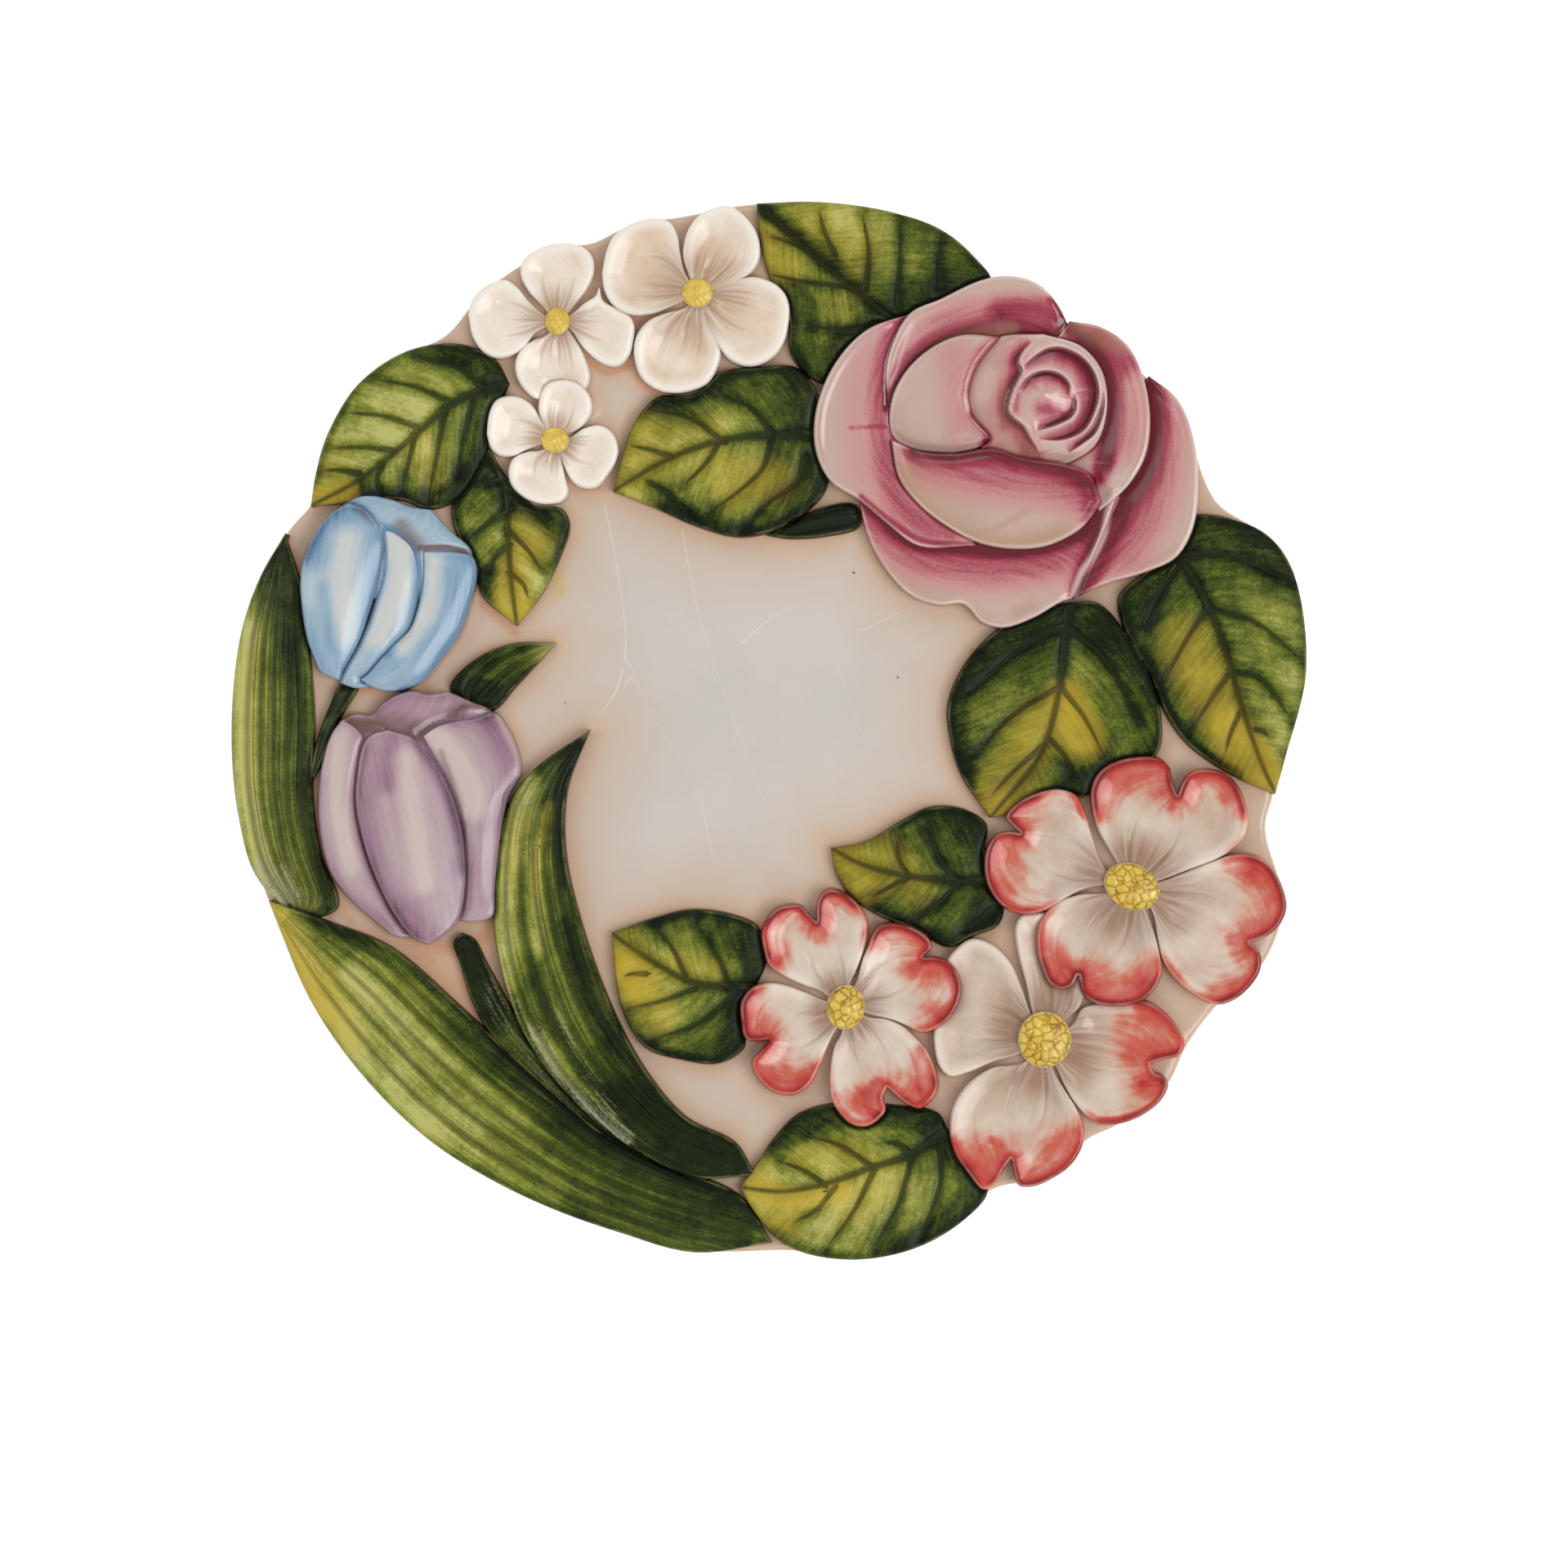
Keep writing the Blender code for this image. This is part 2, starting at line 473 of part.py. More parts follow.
def dish(collection):
    """The dish: its section turned about the upright axis, then drawn out to the outline."""
    section = bmesh.new()
    points = [section.verts.new((radius, 0.0, height)) for radius, height in dish_profile()]
    for start, end in zip(points, points[1:]):
        section.edges.new((start, end))
    guide = link(section, "dish_section", collection)
    screw = guide.modifiers.new("turned", "SCREW")
    screw.axis = "Z"
    screw.steps = TURN_STEPS
    screw.render_steps = TURN_STEPS
    screw.use_merge_vertices = True
    screw.merge_threshold = 0.00001
    bpy.context.view_layer.update()
    graph = bpy.context.evaluated_depsgraph_get()
    mesh = bpy.data.meshes.new_from_object(guide.evaluated_get(graph))
    bpy.data.objects.remove(guide)
    mesh.name = "plate"
    draw_out_rim(mesh)
    return bpy.data.objects.new("plate", mesh)


def relief(name, left, middle, right, height, grid, collection):
    """A closed solid that rises from the dish between two edge lines, which meet at both ends.

    The grid's columns run from the left wall's foot over the left edge, the middle line and the right edge to the
    right wall's foot, and back under the shape to where they began. The height over the dish's face is a function of
    the share of the way along, and of the place across, from -1 at the left edge to 1 at the right.
    """
    rows, columns = grid
    shares = np.linspace(0.0, 1.0, rows + 1)
    middle, left, right = (at_shares(line, shares) for line in (middle, left, right))
    around = columns + 3
    bm = bmesh.new()
    bmesh.ops.create_grid(bm, x_segments=around, y_segments=rows, size=1.0)
    for vertex in bm.verts:
        row = round((vertex.co.y + 1) / 2 * rows)
        column = round((vertex.co.x + 1) / 2 * around) % around
        across = min(max((column - 1) / columns, 0.0), 1.0) * 2 - 1
        edge = left[row] if across < 0 else right[row]
        x, y = middle[row] + abs(across) * (edge - middle[row])
        radius = math.hypot(x, y)
        if column in (0, columns + 2):
            inwards = min(1.0, (rim_reach(x, y) - FOOT_TUCK) / radius)
            vertex.co = (x * inwards, y * inwards, face_height(radius) - BEDDING)
        else:
            vertex.co = (x, y, face_height(radius) + height(shares[row], across))
    bmesh.ops.remove_doubles(bm, verts=bm.verts, dist=0.01)
    bmesh.ops.recalc_face_normals(bm, faces=bm.faces)
    if bm.calc_volume(signed=True) < 0:
        bmesh.ops.reverse_faces(bm, faces=bm.faces)
    return link(bm, name, collection)


def side_lines(shape):
    """A shape's left edge, middle line and right edge, all from its base to its tip."""
    left = smooth_line([shape.base, *shape.left, shape.tip])
    right = smooth_line([shape.base, *shape.right, shape.tip])
    rib = getattr(shape, "rib", ())
    if rib:
        return left, smooth_line([shape.base, *rib, shape.tip]), right
    shares = np.linspace(0.0, 1.0, len(left))
    return left, (at_shares(left, shares) + at_shares(right, shares)) / 2, right


def leaves(collection):
    """Leaves with a swelling on each side of a grooved rib."""
    for name, shape in LEAVES.items():

        def height(along, across, edge=shape.height):
            side = abs(across)
            groove = LEAF_GROOVE * max(0.0, 1 - side / GROOVE_REACH)
            return edge + fullness(along) * (LEAF_SWELL * (1 - side**2) - groove)

        relief(name, *side_lines(shape), height, LEAF_GRID, collection)


def blades(collection):
    """Long blades with lengthwise ridges and furrows."""
    for name, shape in BLADES.items():

        def height(along, across, edge=shape.height):
            ripple = BLADE_RIPPLE * math.cos(BLADE_WAVES * math.pi * across)
            return edge + fullness(along) * (BLADE_SWELL * (1 - across**2) + ripple)

        grid = STEM_GRID if name in SLIM else BLADE_GRID
        relief(name, *side_lines(shape), height, grid, collection)


def tulips(collection):
    """The tulips' petals, each rounded across and along."""
    for name, shape in TULIP_PETALS.items():

        def height(along, across, edge=shape.height):
            return edge + TULIP_SWELL * (1 - across**2) * math.sin(math.pi * along)

        relief(name, *side_lines(shape), height, TULIP_GRID, collection)


def petal_lines(centre, petal):
    """A blossom petal's left edge, middle line and right edge, from under the button to the petal's notch."""
    angle = math.radians(petal.angle)
    ahead = np.array([math.cos(angle), math.sin(angle)])
    aside = np.array([-math.sin(angle), math.cos(angle)])
    start = np.array(centre) - PETAL_OVERLAP * ahead
    end = np.array(centre) + petal.notch * ahead

    def edge(reach, width):
        neck, belly, shoulder, lobe = (
            np.array(centre) + far * reach * ahead + wide * width * aside
            for far, wide in ((0.12, 0.10), (0.62, 1.0), (0.90, 0.80), (1.0, 0.42))
        )
        return smooth_line([start, neck, belly, shoulder, lobe, end])

    left = edge(petal.left_reach, petal.left_width)
    right = edge(petal.right_reach, -petal.right_width)
    return left, np.array([start, end]), right


def button(name, centre, bead, foot, collection):
    """A flattened ball, its widest ring at the foot height and its top at the bead's."""
    bm = bmesh.new()
    bmesh.ops.create_uvsphere(bm, u_segments=BEAD_TURNS, v_segments=BEAD_RINGS, radius=1.0)
    turn = math.radians(bead.turn)
    ground = face_height(math.hypot(*centre))
    for vertex in bm.verts:
        x, y, z = vertex.co.x * bead.long, vertex.co.y * bead.short, vertex.co.z * (bead.top - foot)
        vertex.co = (
            centre[0] + x * math.cos(turn) - y * math.sin(turn),
            centre[1] + x * math.sin(turn) + y * math.cos(turn),
            ground + foot + z,
        )
    return link(bm, name, collection)


def blossoms(collection):
    """Blossoms of four dished petals round a button."""
    for name, blossom in BLOSSOMS.items():
        for number, petal in enumerate(blossom.petals, 1):

            def height(along, across, blossom=blossom):
                rise = (blossom.rim - blossom.throat) * math.sqrt(along)
                hollow = blossom.dish * (1 - abs(across)) * math.sin(math.pi * along)
                return blossom.throat + rise - hollow

            lines = petal_lines(blossom.centre, petal)
            relief(f"{name}_petal_{number}", *lines, height, PETAL_GRID, collection)
        button(f"{name}_button", blossom.centre, blossom.bead, blossom.throat, collection)


def rose(collection):
    """The rose: petals that climb from the outside in, and the curls and the heart of its bud."""
    for name, petal in ROSE_PETALS.items():

        def height(along, across, petal=petal):
            slope = (petal.inner - petal.outer) * (across + 1) / 2
            return petal.outer + fullness(along) * (slope + petal.bulge * (1 - across**2))

        relief(name, *side_lines(petal), height, ROSE_GRID, collection)
    for name, curl in ROSE_CURLS.items():
        path = smooth_line(curl.path)
        ahead = np.gradient(path, axis=0)
        aside = np.stack([-ahead[:, 1], ahead[:, 0]], axis=1) / np.linalg.norm(ahead, axis=1)[:, None]
        taper = np.sqrt(np.sin(np.pi * np.linspace(0.0, 1.0, len(path))).clip(0.0))
        half = aside * (curl.width / 2 * taper)[:, None]

        def height(along, across, curl=curl):
            return curl.height - 0.8 * abs(across) * fullness(along)

        relief(name, path + half, path, path - half, height, CURL_GRID, collection)
    button("rose_heart", ROSE_HEART_CENTRE, ROSE_HEART, ROSE_HEART.top - 2.4, collection)


def hanging_holes(collection):
    """Round cutters across the foot ring, pointing away from the plate's middle."""
    for number, degrees in enumerate(HOLE_ANGLES, 1):
        bm = bmesh.new()
        radius = HOLE_DIAMETER / 2
        depth = 2 * (FOOT_OUTER - FOOT_INNER) + 2 * FOOT_SPLAY
        bmesh.ops.create_cone(
            bm, cap_ends=True, segments=12, radius1=radius, radius2=radius, depth=depth
        )
        obj = link(bm, f"hanging_hole_{number}", collection)
        angle = math.radians(degrees)
        reach = (FOOT_OUTER + FOOT_INNER) / 2 * MM
        obj.location = (reach * math.cos(angle), reach * math.sin(angle), HOLE_HEIGHT * MM)
        obj.rotation_euler = (0.0, math.pi / 2, angle)


def glaze():
    material = bpy.data.materials.new("glazed_earthenware")
    material.use_nodes = True
    shader = material.node_tree.nodes["Principled BSDF"]
    shader.inputs["Base Color"].default_value = CREAM_GLAZE
    shader.inputs["Roughness"].default_value = GLAZE_ROUGHNESS
    shader.inputs["Metallic"].default_value = 0.0
    material.diffuse_color = CREAM_GLAZE
    return material


def new_collection(name):
    collection = bpy.data.collections.new(name)
    bpy.context.scene.collection.children.link(collection)
    return collection


def main():
    for obj in list(bpy.data.objects):
        bpy.data.objects.remove(obj)
    plate_parts = new_collection("relief_plate")
    wreath = new_collection("wreath")
    cutters = new_collection("cutters")
    leaves(wreath)
    blades(wreath)
    blossoms(wreath)
    tulips(wreath)
    rose(wreath)
    hanging_holes(cutters)
    plate = dish(cutters)
    plate_parts.objects.link(plate)
    plate.data.materials.append(glaze())
    for name, operation, operand in (("wreath", "UNION", wreath), ("hanging_holes", "DIFFERENCE", cutters)):
        boolean = plate.modifiers.new(name, "BOOLEAN")
        boolean.operation = operation
        boolean.solver = "MANIFOLD"
        boolean.operand_type = "COLLECTION"
        boolean.collection = operand
    plate.data.shade_smooth()
    plate.data.set_sharp_from_angle(angle=math.radians(35.0))


main()
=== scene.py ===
"""A decorative relief plate in hand-painted glazed earthenware, lying on its foot ring and seen from above.

The dish and every leaf, blade and petal is modelled in millimetres: a place on the face is (x, y) from the plate's
middle, with +X to the right and +Y to the top of the picture. The tables give a line's places as a text of its x,y
pairs, in whole tenths of a millimetre.
"""

import math
from collections import namedtuple

import bmesh
import bpy
import numpy as np
from mathutils import Matrix, Vector


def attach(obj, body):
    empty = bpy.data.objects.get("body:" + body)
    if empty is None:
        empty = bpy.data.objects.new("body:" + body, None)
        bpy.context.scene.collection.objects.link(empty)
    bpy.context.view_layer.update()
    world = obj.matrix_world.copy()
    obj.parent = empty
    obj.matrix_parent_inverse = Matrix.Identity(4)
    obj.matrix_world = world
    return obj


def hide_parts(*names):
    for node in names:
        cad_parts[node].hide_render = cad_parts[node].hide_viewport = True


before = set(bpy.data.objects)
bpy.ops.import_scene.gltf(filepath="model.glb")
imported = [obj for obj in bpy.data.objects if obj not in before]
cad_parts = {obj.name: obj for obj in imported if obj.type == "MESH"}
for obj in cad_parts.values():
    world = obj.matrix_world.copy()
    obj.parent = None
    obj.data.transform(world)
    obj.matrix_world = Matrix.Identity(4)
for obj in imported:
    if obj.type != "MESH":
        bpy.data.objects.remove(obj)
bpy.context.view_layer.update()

MM = 0.001
TENTHS = 10
FULL_TURN = 2 * math.pi

# The dish, as in the solid that it stands for
WELL_HEIGHT = 12.0
WELL_RADIUS = 58.0
RIM_HEIGHT = 18.0
RIM_RADIUS = 125.0
WALL = 4.8
FOOT_OUTER = 76.0
FOOT_INNER = 71.0
FOOT_SPLAY = 2.0
HOLE_DIAMETER = 3.5
HOLE_HEIGHT = 3.4
HOLE_ANGLES = (80.0, 100.0)
EDGE_INSET = 0.4
EDGE_ROUND = 1.5

# How finely the dish and its foot are turned: the face has wide rings out to where the wreath begins
WREATH_START = 44.0
WELL_RINGS = 22
FACE_RINGS = 108
UNDER_RINGS = 28
DISH_STEPS = 540
FOOT_STEPS = 144

# The share of its own map that each side of the dish takes, for every millimetre, and where its middle lies there
FACE_CHART = (0.395 / 142.0, 0.405)
BACK_CHART = (0.175 / 136.0, 0.82)

# How far the ground rises where it meets the raised shapes, and from how far off
GROUND_LIFT = 0.2
GROUND_LIFT_REACH = 1.9

# How far from the raised shapes the ground's colour changes, what the underside counts as, and how far below the
# throat of a blossom the ground swells up under it
POOL_REACH = 30.0
POOL_UNDER = 20.0
THROAT_ROOM = 0.8

# How wide the glaze's cracks are at their two ends
CRACK_WIDTHS = (0.34, 0.22)

# How leaves, blades and tulip petals swell, the blades' ripple, and the roundness of their edges
LEAF_SWELL = 1.1
BLADE_SWELL = 0.5
BLADE_RIPPLE = 0.45
BLADE_RIDGE = 0.55
TULIP_SWELL = 1.6
SOFT_EDGE = 0.9

# How deep ribs, veins and furrows are pressed, and how far off they begin
RIB_DEPTH, RIB_REACH = 0.8, 1.5
VEIN_DEPTH, VEIN_REACH = 0.4, 1.1
FURROW_DEPTH, FURROW_REACH = 0.8, 1.1

# How wide veins, furrows and creases are drawn at their starts and ends, and between which shares of a petal's length
# its creases lie
VEIN_WIDTHS = (1.5, 0.6)
FURROW_WIDTHS = (1.5, 0.9)
CREASE_WIDTHS = (0.8, 0.3)
CREASE_ENDS = (0.16, 0.62)

# How far apart the grain of a leaf's two halves lies, and that of a blossom's petals, so that their strokes differ
HALVES_APART = 40
PETALS_APART = 20

# A tulip's tint is brushed wider and thinner than its strokes say
TINT_SPREAD = 1.6
TINT_STRENGTH = 0.8

# The tan's reach at which a petal is as warm as its glaze can make it
WARM_REACH = 0.7

# The size of a sheet's faces, in millimetres
SHEET_DETAIL = 0.55
BLADE_DETAIL = 0.6
BUD_DETAIL = 0.36

# How shallow the valleys beside the rose's lowest petals are
ROSE_VALLEYS = {"rose_outer_left_petal": 0.3, "rose_bottom_petal": 0.3}

# How high the beads of a button stand, and how the bud's lips and heart lift its top
BEAD_LUMP = 0.28
LIP_LIFT = 1.2
HEART_LIFTS = ((0.9, 2.4), (1.2, 9.0))
BUD_CRIMSON = 2.2

# How light each leaf's and blade's green is where nothing else is brushed on
GREEN_TONES = {
    "top_leaf": 1.0, "left_top_leaf": 0.98, "small_leaf": 0.92, "centre_top_leaf": 0.76, "stem_leaf": 0.5,
    "inner_right_leaf": 0.62, "outer_right_leaf": 0.62, "centre_right_leaf": 0.6, "inner_bottom_leaf": 0.75,
    "bottom_leaf": 0.92, "left_blade": 0.95, "bottom_blade": 0.88, "middle_blade": 0.6, "stem_blade": 0.84,
    "short_blade": 0.68, "blue_stem": 0.7,
}

# How far out the tan round each blossom's button runs, as a share of its petals
TAN_REACH = {
    "large_blossom": 0.62, "middle_blossom": 0.38, "small_blossom": 0.34,
    "large_dogwood": 0.48, "small_dogwood": 0.34, "lower_dogwood": 0.52,
}

# The camera, in metres: it stands straight over the plate, a little to the right of and below its middle
CAMERA_HEIGHT = 1.6
CAMERA_PLACE = (0.0034, -0.013)
FRAME_WIDTH = 0.3838
FILM_WIDTH = 36.0
NEAREST_SEEN = 0.05

FLOOR_SIZE = 4.0
ROOM_LIGHT = 0.5
FLOOR_GLOW = 0.35

# Each light's place and size in metres, and its power in watts
SOFT_LIGHTS = {
    "right_light": ((0.75, -0.28, 1.15), 0.8, 9.8),
    "left_light": ((-1.05, 0.1, 0.95), 1.0, 4.4),
    "far_light": ((-0.1, 1.15, 0.9), 1.0, 4.2),
    "near_light": ((0.2, -1.15, 0.9), 1.0, 4.0),
}

# How much of the light that the glazes' colours were seen in the studio gives
LIGHT_SHARE = 0.79

# Points along a smooth line from each of its places to the next, and along a blade's furrow
SPAN_POINTS = 6
FURROW_POINTS = 40

# Places measured against a line at a time, and a distance that stands for far off
BATCH = 4000
FAR = 9.0

# A brush stroke covers fully to this share of its reach and fades out to the other
STROKE_CORE, STROKE_END = 0.1, 1.45

# A wet stroke: its reach and strength as shares of a dry one's, and the share that the dry stroke keeps within it
WET_REACH, WET_STRENGTH, DRY_SHARE = 2.2, 0.45, 0.85

# The raised shapes from the lowest to the highest, and their outlines once they are drawn
LAYER_ORDER = (
    "left_blade", "blue_stem", "short_blade", "stem_leaf", "small_leaf", "left_top_leaf", "centre_top_leaf",
    "top_leaf", "inner_right_leaf", "outer_right_leaf", "bottom_blade", "stem_blade", "middle_blade",
    "inner_bottom_leaf", "bottom_leaf", "centre_right_leaf", "middle_blossom", "large_blossom", "small_blossom",
    "lower_dogwood", "large_dogwood", "small_dogwood", "blue_back_petal", "blue_middle_petal",
    "blue_left_petal", "blue_right_petal", "lilac_back_petal", "lilac_left_petal", "lilac_right_petal",
    "lilac_middle_petal", "rose_bottom_petal", "rose_outer_right_petal", "rose_outer_left_petal",
    "rose_top_petal", "rose_inner_right_petal", "rose_bud", "rose_cup_petal", "rose_front_petal",
)
LAYERS = []

# How far a shape sinks at most under those over it, how far it drops where its sheet strays out of its outline, and
# how low over the dish's face its top may lie
MOST_SUNK = 2.5
STRAY_DROP = 8.0
LOWEST_TOP = -1.5

# The margin that each sheet keeps on a piece's own map, the gaps in millimetres over which a sheet's points and those
# of a turned shape are joined, and by how much less deep each column of a sheet's walls counts than the last
CHART_MARGIN = 0.01
WELD = 0.01
TURNED_WELD = 0.001
WALL_FALL = -1.2

# How far the raised shapes' walls go under the dish's face, how far their feet stay inside its edge, and how far they
# draw in for it at most
BEDDING = 2.3
FOOT_TUCK = 1.4
MOST_TUCK = 3.0

# The wavy outline of the dish
EDGE = (
    "-1187,485 -1123,565 -1081,729 -1005,849 -885,929 -795,973 -705,1077 -525,1189 -441,1197 -345,1241 -215,1263 "
    "-5,1295 415,1227 535,1107 605,1107 695,1053 739,997 835,969 927,865 1005,789 1095,565 1215,479 1295,329 "
    "1313,169 1235,-161 1217,-241 1261,-431 1205,-581 1105,-667 1025,-771 975,-871 855,-967 775,-1007 705,-1091 "
    "545,-1127 455,-1211 335,-1271 185,-1293 55,-1277 -185,-1275 -525,-1171 -845,-991 -1125,-655 -1285,-251 "
    "-1313,-71 -1291,249"
)

# A shape with a base and a tip, the places that its two side edges pass through between them, and its rib's.
# The height is that of its side edges over the face of the dish.
Shape = namedtuple("Shape", "height base tip left right rib", defaults=[""])

LEAVES = {
    "top_leaf": Shape(
        3.0, base="-33,1289", tip="455,929", left="115,1293 285,1271 415,1227 495,1163 547,1085",
        right="-25,1209 -1,1109 45,1019 51,925 121,855 275,849", rib="115,1153 285,1019",
    ),
    "left_top_leaf": Shape(
        3.2, base="-637,849", tip="-1123,549", left="-673,909 -765,945 -885,929 -1005,849 -1081,727 -1109,635",
        right="-679,749 -705,659 -765,569 -835,543 -905,565 -1025,557", rib="-765,807 -885,707 -1005,613",
    ),
    "small_leaf": Shape(
        2.8, base="-689,693", tip="-621,257", left="-745,625 -779,545 -765,479 -725,409 -705,333",
        right="-635,609 -581,555 -513,545 -493,505 -517,425 -559,339", rib="-647,589 -643,489 -635,369",
    ),
    "centre_top_leaf": Shape(
        3.6, base="121,729", tip="-385,587", left="115,829 65,889 -35,889 -115,879 -185,825 -275,817 -335,749",
        right="141,665 135,589 35,503 -75,477 -185,505 -285,549", rib="5,725 -115,713 -245,669 -325,625",
    ),
    "stem_leaf": Shape(
        2.2, base="229,525", tip="-9,479", left="205,557 115,543 45,509", right="215,499 135,479 55,473",
        rib="115,507",
    ),
    "inner_right_leaf": Shape(
        3.6, base="735,315", tip="539,-213", left="655,299 559,249 479,165 437,65 443,-21 471,-111",
        right="805,313 871,239 925,149 957,29 947,-55 835,-131 675,-191", rib="721,209 709,109 665,-51",
    ),
    "outer_right_leaf": Shape(
        3.0, base="995,437", tip="1235,-155", left="915,385 855,329 867,253 925,145 971,39 1025,-35 1135,-111",
        right="1027,521 1115,521 1215,479 1279,389 1311,149 1261,-61", rib="1065,319 1115,189 1155,49 1201,-81",
    ),
    "centre_right_leaf": Shape(
        3.2, base="547,-367", tip="149,-287", left="527,-291 531,-231 475,-193 395,-187 325,-219 235,-271",
        right="573,-431 559,-475 495,-503 435,-529 355,-487 265,-451 195,-401 159,-341",
        rib="455,-367 335,-355 225,-327",
    ),
    "inner_bottom_leaf": Shape(
        3.2, base="-35,-627", tip="-389,-495", left="-11,-571 -31,-481 -95,-451 -195,-439 -295,-463",
        right="-75,-691 -61,-771 -125,-813 -215,-805 -305,-775 -359,-691 -381,-591",
        rib="-185,-617 -285,-567 -349,-525",
    ),
    "bottom_leaf": Shape(
        3.2, base="435,-975", tip="-75,-1115", left="411,-935 315,-919 175,-911 71,-939 11,-997 -33,-1061",
        right="481,-1051 533,-1123 475,-1195 355,-1265 195,-1293 45,-1261 -35,-1181",
        rib="335,-1039 245,-1067 135,-1107 25,-1125",
    ),
}

BLADES = {
    "left_blade": Shape(
        3.0, base="-1155,-471", tip="-1185,483", left="-1259,-351 -1299,-211 -1315,-71 -1313,89 -1291,249 -1245,379",
        right="-1057,-431 -1099,-301 -1119,-161 -1115,29 -1127,189 -1145,349",
    ),
    "bottom_blade": Shape(
        3.6, base="5,-1251", tip="-1225,-415",
        left="-75,-1135 -243,-1066 -398,-991 -556,-858 -745,-687 -925,-531 -1065,-471",
        right="-185,-1275 -365,-1227 -525,-1171 -685,-1095 -845,-991 -1005,-831 -1125,-655",
    ),
    "stem_blade": Shape(
        2.8, base="-145,-1121", tip="-754,-494",
        left="-285,-1061 -425,-981 -565,-861 -683,-743 -730,-660 -758,-575 -776,-516",
        right="-285,-1027 -435,-931 -555,-801 -630,-686 -693,-570 -724,-510",
    ),
    "middle_blade": Shape(
        4.2, base="-35,-1087", tip="-441,3",
        left="-185,-1091 -345,-1015 -485,-901 -605,-735 -669,-531 -673,-351 -641,-181 -575,-91",
        right="-85,-1007 -205,-947 -305,-831 -395,-661 -469,-451 -503,-291 -497,-141",
    ),
    "short_blade": Shape(
        2.8, base="-725,57", tip="-525,217", left="-785,105 -729,171 -635,213", right="-677,53 -625,109 -573,165",
    ),
    "blue_stem": Shape(
        2.6, base="-1117,-121", tip="-1030,130", left="-1123,-101 -1115,-51 -1099,5 -1075,65 -1053,115",
        right="-1103,-93 -1079,-29 -1051,33 -1023,79 -1009,105",
    ),
}

TULIP_PETALS = {
    "blue_back_petal": Shape(
        3.8, base="-1085,389", tip="-829,541", left="-1085,509 -1005,573 -923,565 -881,549",
        right="-925,309 -765,349 -729,435 -781,489",
    ),
    "blue_left_petal": Shape(
        5.0, base="-1053,123", tip="-1029,557",
        left="-1097,143 -1113,175 -1131,225 -1143,297 -1147,367 -1139,425 -1109,487 -1071,533",
        right="-1037,159 -1017,195 -997,239 -969,325 -947,411 -943,465 -961,509 -993,545",
    ),
    "blue_middle_petal": Shape(
        3.6, base="-1021,105", tip="-949,503", left="-1053,121 -1037,165 -1005,219 -975,299 -951,389 -955,459",
        right="-975,107 -921,159 -875,229 -857,309 -855,389 -869,449 -893,475 -921,493",
    ),
    "blue_right_petal": Shape(
        5.0, base="-1001,125", tip="-847,439", left="-983,139 -951,177 -917,213 -881,249 -861,303 -849,369",
        right="-975,107 -937,97 -895,101 -847,125 -801,179 -759,239 -737,297 -723,347 -719,399 -729,427 -765,437",
    ),
    "lilac_back_petal": Shape(
        4.0, base="-1045,-71", tip="-789,97", left="-1057,17 -1011,43 -975,41 -949,67 -915,89 -875,99 -839,91",
        right="-845,-131 -705,-91 -681,45 -735,73",
    ),
    "lilac_left_petal": Shape(
        3.6, base="-869,-507", tip="-1045,29",
        left="-915,-503 -965,-467 -1025,-413 -1075,-347 -1101,-251 -1105,-151 -1091,-61 -1071,-5",
        right="-909,-451 -961,-341 -993,-211 -993,-111 -981,-27 -1009,9",
    ),
    "lilac_right_petal": Shape(
        3.6, base="-765,-465", tip="-865,-9", left="-773,-371 -773,-251 -805,-121 -841,-55",
        right=(
            "-715,-467 -677,-451 -673,-391 -661,-271 -641,-161 -611,-101 -619,-47 -645,9 -677,47 -719,35 -775,29 "
            "-821,17"
        ),
    ),
    "lilac_middle_petal": Shape(
        5.4, base="-835,-523", tip="-935,3",
        left="-869,-509 -911,-461 -959,-371 -995,-271 -1013,-181 -1011,-121 -995,-35 -975,-9",
        right="-795,-497 -763,-461 -747,-381 -747,-301 -761,-211 -789,-131 -825,-71 -869,-19",
    ),
}

# A petal of the rose. The heights are those of its outer edge, on its left, and of its inner edge, and the bulge is
# how far it swells between them.
RosePetal = namedtuple("RosePetal", "outer inner bulge base tip left right")

